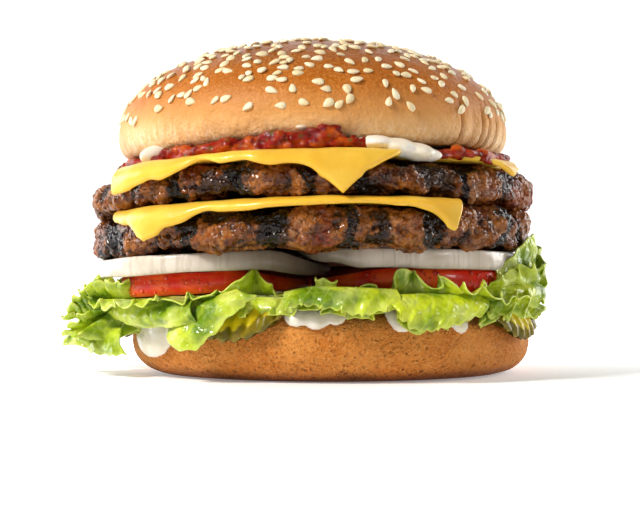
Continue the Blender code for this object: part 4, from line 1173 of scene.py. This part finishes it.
def ooze():
    """Lumps of sauce that bulge out between the crown and the cheese."""
    draw = random.Random(3)
    lumps = bmesh.new()
    for first, last, out, height, size in OOZE:
        for _ in range(int((last - first) * 1.3)):
            azimuth = draw.uniform(first, last)
            radius = size * draw.uniform(0.55, 1.1)
            place = spot(azimuth, (out + draw.gauss(-0.8, 0.5)) * MM, (height + draw.gauss(0, 0.45)) * MM, CROWN_CENTRE)
            stretch = Matrix.Diagonal((radius * MM * draw.uniform(1.0, 1.7), radius * MM, radius * MM * 0.8, 1))
            turn = Matrix.Rotation(math.radians(azimuth), 4, "Z")
            bmesh.ops.create_icosphere(lumps, subdivisions=2, radius=1.0, matrix=Matrix.Translation(place) @ turn @ stretch)
    bm = melted(lumps, "ooze", 0.4 * MM, 5)
    bits = bm.verts.layers.float.new("bits")
    for vertex in bm.verts:
        near = noise.voronoi(vertex.co / (2.2 * MM))[0][0]
        vertex.co += vertex.normal * (0.3 * (0.5 - near) + 0.3 * wave(vertex.co, 2 * MM, 2)) * MM
        vertex[bits] = 1 - blend(0.2, 0.5, near)
    return bm


add_piece("relish_pressed_out", ooze(), RELISH, "relish", "relish")

# Mayonnaise under the crown: a spread whose thick drops come out between the crown and the cheese.
UPPER_SAUCE_BOTTOM = 65.0 * MM
UPPER_SAUCE_TOP = 65.9 * MM
UPPER_SAUCE_RADIUS = 45.5 * MM
DROP_INNER = 41 * MM


def upper_mayonnaise():
    """Each drop is a thin neck under the crown that swells into a rounded end."""
    drops = bmesh.new()
    neck = (UPPER_SAUCE_TOP + UPPER_SAUCE_BOTTOM) / 2
    for azimuth, out, height, wide, tall in UPPER_DROPS:
        for vertex in bmesh.ops.create_uvsphere(drops, u_segments=20, v_segments=16, radius=1.0)["verts"]:
            y, z, x = vertex.co
            radius = DROP_INNER + (out * MM - DROP_INNER) * (x + 1) / 2
            swell = blend(-0.1, 0.6, x)
            level = neck + (height * MM - neck) * swell + z * (0.45 + (tall * 1.35 - 0.45) * swell) * MM
            turn = math.degrees(y * 1.1 * wide * MM / radius)
            vertex.co = spot(azimuth + turn, radius, level, CROWN_CENTRE)
    spread = bmesh.ops.create_cone(
        drops, cap_ends=True, segments=96, radius1=UPPER_SAUCE_RADIUS, radius2=UPPER_SAUCE_RADIUS, depth=0.9 * MM
    )
    bmesh.ops.translate(drops, verts=spread["verts"], vec=(CROWN_CENTRE, 0, neck))
    return melted(drops, "upper_drops", 0.5 * MM, 12)


add_piece("mayonnaise_above", upper_mayonnaise(), MAYONNAISE, "mayonnaise", "mayonnaise_upper")

# Crown of the bun: the domed top half. Its glaze baked to a satin brown on top, its side is paler and
# softly dimpled, and on the right the side is creased from the bottom up to about half its height.
CROWN_RADIUS = 57.9 * MM
CROWN_BOTTOM = 66.4 * MM
CROWN_EQUATOR = 72.5 * MM
CROWN_APEX = 98.4 * MM
CROWN_CORNER = 4.5 * MM
CROWN_ROUNDNESS = 2.1

# Creases: azimuth, half width in degrees, depth in millimetres and how high up each one runs.
CREASES = [(46.5, 0.9, 1.1, 0.5), (52, 2.4, 0.4, 0.4), (57, 1.0, 1.1, 0.45), (61, 0.8, 1.0, 0.5), (66, 1.3, 1.0, 0.4), (73, 1.3, 0.8, 0.35)]
CREASES += [(-78, 2.2, 0.3, 0.3), (-70, 1.6, 0.25, 0.2), (160, 2.0, 0.6, 0.45), (-140, 1.8, 0.5, 0.4)]


def crown_skin(azimuth, climb):
    """A point on the crown's domed skin: climb runs from 0 at the widest ring to 1 at the top."""
    power = 2 / CROWN_ROUNDNESS
    angle = climb * math.pi / 2
    radius = CROWN_RADIUS * math.cos(angle) ** power if climb < 1 else 0.0
    height = CROWN_EQUATOR + (CROWN_APEX - CROWN_EQUATOR) * math.sin(angle) ** power
    return spot(azimuth, radius, height, CROWN_CENTRE)


def crown_outline():
    """The crown's profile: dome, rounded lower corner and flat cut face."""
    profile = []
    for i in reversed(range(91)):
        point = crown_skin(90, i / 90)
        profile.append((max(0.0, point.x - CROWN_CENTRE), point.z))
    drop = CROWN_EQUATOR - CROWN_BOTTOM
    for i in range(1, 19):
        angle = math.pi / 2 * i / 18
        radius = CROWN_RADIUS - CROWN_CORNER * (1 - math.cos(angle))
        profile.append((radius, CROWN_EQUATOR - drop * math.sin(angle)))
    return profile + [(CROWN_RADIUS * share, CROWN_BOTTOM) for share in (0.88, 0.8, 0.5, 0)]


def crown_relief(azimuth, point, outward):
    """Soft unevenness, fine dimples in the glaze, creases down the side and a torn lower edge."""
    radius = math.hypot(point.x - CROWN_CENTRE, point.y)
    side = blend(30 * MM, 52 * MM, radius)
    up = (point.z - CROWN_BOTTOM) / (CROWN_APEX - CROWN_BOTTOM)
    crease = 0.0
    for middle, half, depth, top in CREASES:
        bend = middle + 1.2 * wave(Vector((0, middle, point.z)), 9 * MM)
        crease += depth * bump(azimuth, bend, half) * (1 - blend(0.55 * top, top, up))
    low = 1 - blend(0.12, 0.3, up)
    streak = wave(Vector((azimuth * 1.0 * MM, point.z / 4, 0)), 1.6 * MM, 2)
    swell = 0.5 * wave(point, 22 * MM) + 0.07 * wave(point, 2.6 * MM, 2) + 0.14 * low * streak * side
    swell -= crease * side + 0.25 * low * pit(point, 2.4 * MM, 0.35)
    return point + outward * swell * MM, crease


def crown_finish():
    """Glazed brown on top, fading through tan to a pale, faintly streaked lower edge, with painted shade in the
    creases.
    """
    crust = Finish("crown_crust", 0.5, 0.1, 0.1)
    crust.shader.inputs["Coat Roughness"].default_value = 0.25
    patches = crust.grain(18 * MM, 4)
    height = crust.sum(crust.height(), crust.sum(patches, 9 * MM, "MULTIPLY"), "ADD")
    fine = crust.grain(0.8 * MM, 4)
    streaks = crust.grain(1.3 * MM, 3, (1, 1, 0.12))
    colour = crust.mix(crust.step(height, 73 * MM, 88 * MM), paint("E4A862"), paint("B26218"))
    colour = crust.mix(crust.step(height, 86 * MM, 101 * MM), colour, paint("7C3C06"))
    pale = crust.step(crust.sum(crust.height(), crust.sum(streaks, 6 * MM, "MULTIPLY"), "ADD"), 68 * MM, 78 * MM, 0.8, 0)
    colour = crust.mix(pale, colour, paint("F2D09C"))
    low = crust.step(crust.height(), 67 * MM, 73 * MM, 0.5, 0)
    colour = crust.mix(crust.sum(crust.step(streaks, 0.48, 0.62), low, "MULTIPLY"), colour, paint("FBE6C4"))
    colour = crust.mix(crust.sum(crust.step(streaks, 0.36, 0.46, 0.6, 0), low, "MULTIPLY"), colour, paint("C08444"))
    colour = crust.mix(crust.step(fine, 0.4, 0.68, 0, 0.4), colour, paint("E29C50"))
    colour = crust.mix(crust.step(patches, 0.3, 0.55, 0.3, 0), colour, paint("9A5218"))
    # Painted shade: darker in the creases.
    colour = crust.mix(crust.step(crust.mark("crease"), 0.1, 1.0, 0, 0.6), colour, paint("8E4A1E"))
    crust.raise_by(fine, 0.25 * MM)
    crust.raise_by(crust.grain(2.2 * MM, 3), 0.4 * MM)
    gloss = crust.step(height, 76 * MM, 96 * MM, 0.55, 0.34)
    return crust.done(colour, gloss)


add_piece("crown", turned(crown_outline(), 560, crown_relief, ["crease"], CROWN_CENTRE), crown_finish(), "crown_crust", "bun_crown")

# Sesame seeds: flattened teardrops, cream coloured, stuck half sunk in the glaze. They lie thick on top
# and sparse down the side, often two or three touching.
SEED_LENGTH = 3.3 * MM
SEED_WIDTH = 2.1 * MM
SEED_THICK = 1.15 * MM
FIRST_SEEDS = 72
ALL_SEEDS = 500


def seed_places():
    """Azimuth, climb, turn and size of each seed."""
    draw = random.Random(11)
    places = []
    spots = []
    while len(places) < ALL_SEEDS:
        first = len(places) < FIRST_SEEDS
        climb = draw.uniform(0.05, 1.0)
        azimuth = draw.uniform(-180, 180)
        point = crown_skin(azimuth, climb)
        share = (point - Vector((CROWN_CENTRE, 0, 0))).xy.length / CROWN_RADIUS
        low = (0.35, 0.1, 0.45) if first else (0.45, 0.05, 0.25)
        density = (low[0] + (1 - low[0]) * blend(*low[1:], climb)) * max(0.12, share)
        if draw.random() > density:
            continue
        near = min(((point - other).length for other in spots), default=1.0)
        pair = draw.random() < (0.2 if first else 0.5)
        if near < (1.9 if pair else 4.0 if first else 2.7) * MM:
            continue
        spots.append(point)
        places.append((azimuth, climb, draw.uniform(0, 360), draw.uniform(0.86, 1.12)))
    return places


def sesame():
    """All the seeds, each leaning a little and sunk by about a third."""
    draw = random.Random(5)
    bm = bmesh.new()
    shade = bm.verts.layers.float.new("shade")
    for azimuth, climb, turn, size in seed_places():
        here = crown_skin(azimuth, climb)
        east = (crown_skin(azimuth + 1, climb) - here).normalized()
        north = (crown_skin(azimuth, min(1.0, climb + 0.01)) - here).normalized()
        up = east.cross(north).normalized()
        spin = Matrix.Rotation(math.radians(turn), 3, up)
        along, across = spin @ east, spin @ up.cross(east)
        lean = Matrix.Rotation(draw.gauss(0, 0.16), 3, across) @ Matrix.Rotation(draw.gauss(0, 0.2), 3, along)
        tone = draw.random()
        plump = draw.uniform(0.9, 1.15)
        for vertex in bmesh.ops.create_uvsphere(bm, u_segments=8, v_segments=6, radius=0.5)["verts"]:
            y, z, x = vertex.co
            taper = (1 - 0.75 * x) * (1 - 0.25 * blend(0.2, 0.5, x))
            flat = along * x * SEED_LENGTH + across * y * SEED_WIDTH * taper * plump
            body = lean @ (flat + up * z * SEED_THICK * (1 - 0.4 * x))
            vertex.co = here + size * body + up * 0.22 * MM
            vertex[shade] = tone
    return bm


def sesame_finish():
    """Hulled seed, cream to light straw, with a silky shine."""
    hull = Finish("sesame", 0.45, 0.2, 0.3, glow=0.15, glow_depth=0.8 * MM, glow_tint=(1, 0.8, 0.5))
    colour = hull.mix(hull.mark("shade"), paint("F6EAC8"), paint("ECD8A8"))
    colour = hull.mix(hull.step(hull.grain(1.2 * MM, 2), 0.5, 0.75, 0, 0.3), colour, paint("D0AC6A"))
    hull.raise_by(hull.grain(0.5 * MM, 2), 0.08 * MM)
    return hull.done(colour)


add_piece("sesame_seeds", sesame(), sesame_finish(), "crown_crust", "bun_crown")

# Setting: a pale floor that runs up into a pale wall, soft light from large panels, and a camera level
# with the middle of the burger.
SIGHT = 0.56


def sweep():
    """Floor and wall in one bent sheet, which glows faintly under the burger and fully from a little behind it."""
    def place(u, v):
        run = 7 * v
        bend = min(max(run - 4.5, 0.0) / 0.8, math.pi / 2)
        back = min(run, 4.5) + 0.8 * math.sin(bend)
        return (Vector((8 * (u - 0.5), back - 2.5, 0.8 * (1 - math.cos(bend)) + max(0.0, run - 4.5 - 0.4 * math.pi))),)

    mesh = bpy.data.meshes.new("floor")
    bm = skin(2, 64, place)
    bm.to_mesh(mesh)
    bm.free()
    mesh.shade_smooth()
    floor = bpy.data.objects.new("floor", mesh)
    bpy.context.scene.collection.objects.link(floor)
    ground = bpy.data.materials.new("floor")
    ground.use_nodes = True
    nodes, links = ground.node_tree.nodes, ground.node_tree.links
    shader = nodes["Principled BSDF"]
    shader.inputs["Base Color"].default_value = (0.9, 0.9, 0.9, 1)
    shader.inputs["Roughness"].default_value = 0.9
    shader.inputs["Emission Color"].default_value = (1, 1, 1, 1)
    depth = nodes.new("ShaderNodeSeparateXYZ")
    links.new(nodes.new("ShaderNodeTexCoord").outputs["Object"], depth.inputs[0])
    lit = nodes.new("ShaderNodeMapRange")
    lit.interpolation_type = "SMOOTHSTEP"
    links.new(depth.outputs["Y"], lit.inputs["Value"])
    # The sheet glows: faint in front of and under the burger, full from a little behind it.
    for key, value in (("From Min", -0.08), ("From Max", 0.15), ("To Min", 0.16), ("To Max", 0.9)):
        lit.inputs[key].default_value = value
    links.new(lit.outputs[0], shader.inputs["Emission Strength"])
    mesh.materials.append(ground)


def panel(name, place, size, power, colour):
    """A soft light panel that faces the burger."""
    light = bpy.data.lights.new(name, "AREA")
    light.shape = "RECTANGLE"
    light.size, light.size_y = size
    light.energy = power
    light.color = colour
    lamp = bpy.data.objects.new(name, light)
    lamp.location = place
    lamp.rotation_euler = (Vector((0, 0, 0.05)) - Vector(place)).to_track_quat("-Z", "Y").to_euler()
    bpy.context.scene.collection.objects.link(lamp)


sweep()
panel("key", (-0.58, -0.45, 0.66), (0.2, 0.2), 9.5, (1.0, 0.97, 0.93))
panel("fill", (0.6, -0.6, 0.35), (0.12, 0.12), 0.9, (1.0, 0.99, 0.98))
panel("rim_left", (-0.6, 0.25, 0.2), (0.3, 0.4), 2.0, (1.0, 1.0, 1.0))
panel("rim_right", (0.6, 0.25, 0.25), (0.3, 0.4), 2.2, (1.0, 1.0, 1.0))

world = bpy.data.worlds.new("studio")
world.use_nodes = True
world.node_tree.nodes["Background"].inputs["Color"].default_value = (1, 1, 1, 1)
world.node_tree.nodes["Background"].inputs["Strength"].default_value = 0.13
bpy.context.scene.world = world
bpy.context.scene.view_settings.view_transform = "Standard"

lens = bpy.data.cameras.new("camera")
lens.lens = 105
lens.sensor_width = 36
camera = bpy.data.objects.new("camera", lens)
camera.location = (-3.3 * MM, -SIGHT, 34.6 * MM)
camera.rotation_euler = (math.pi / 2, 0, 0)
bpy.context.scene.collection.objects.link(camera)
bpy.context.scene.camera = camera
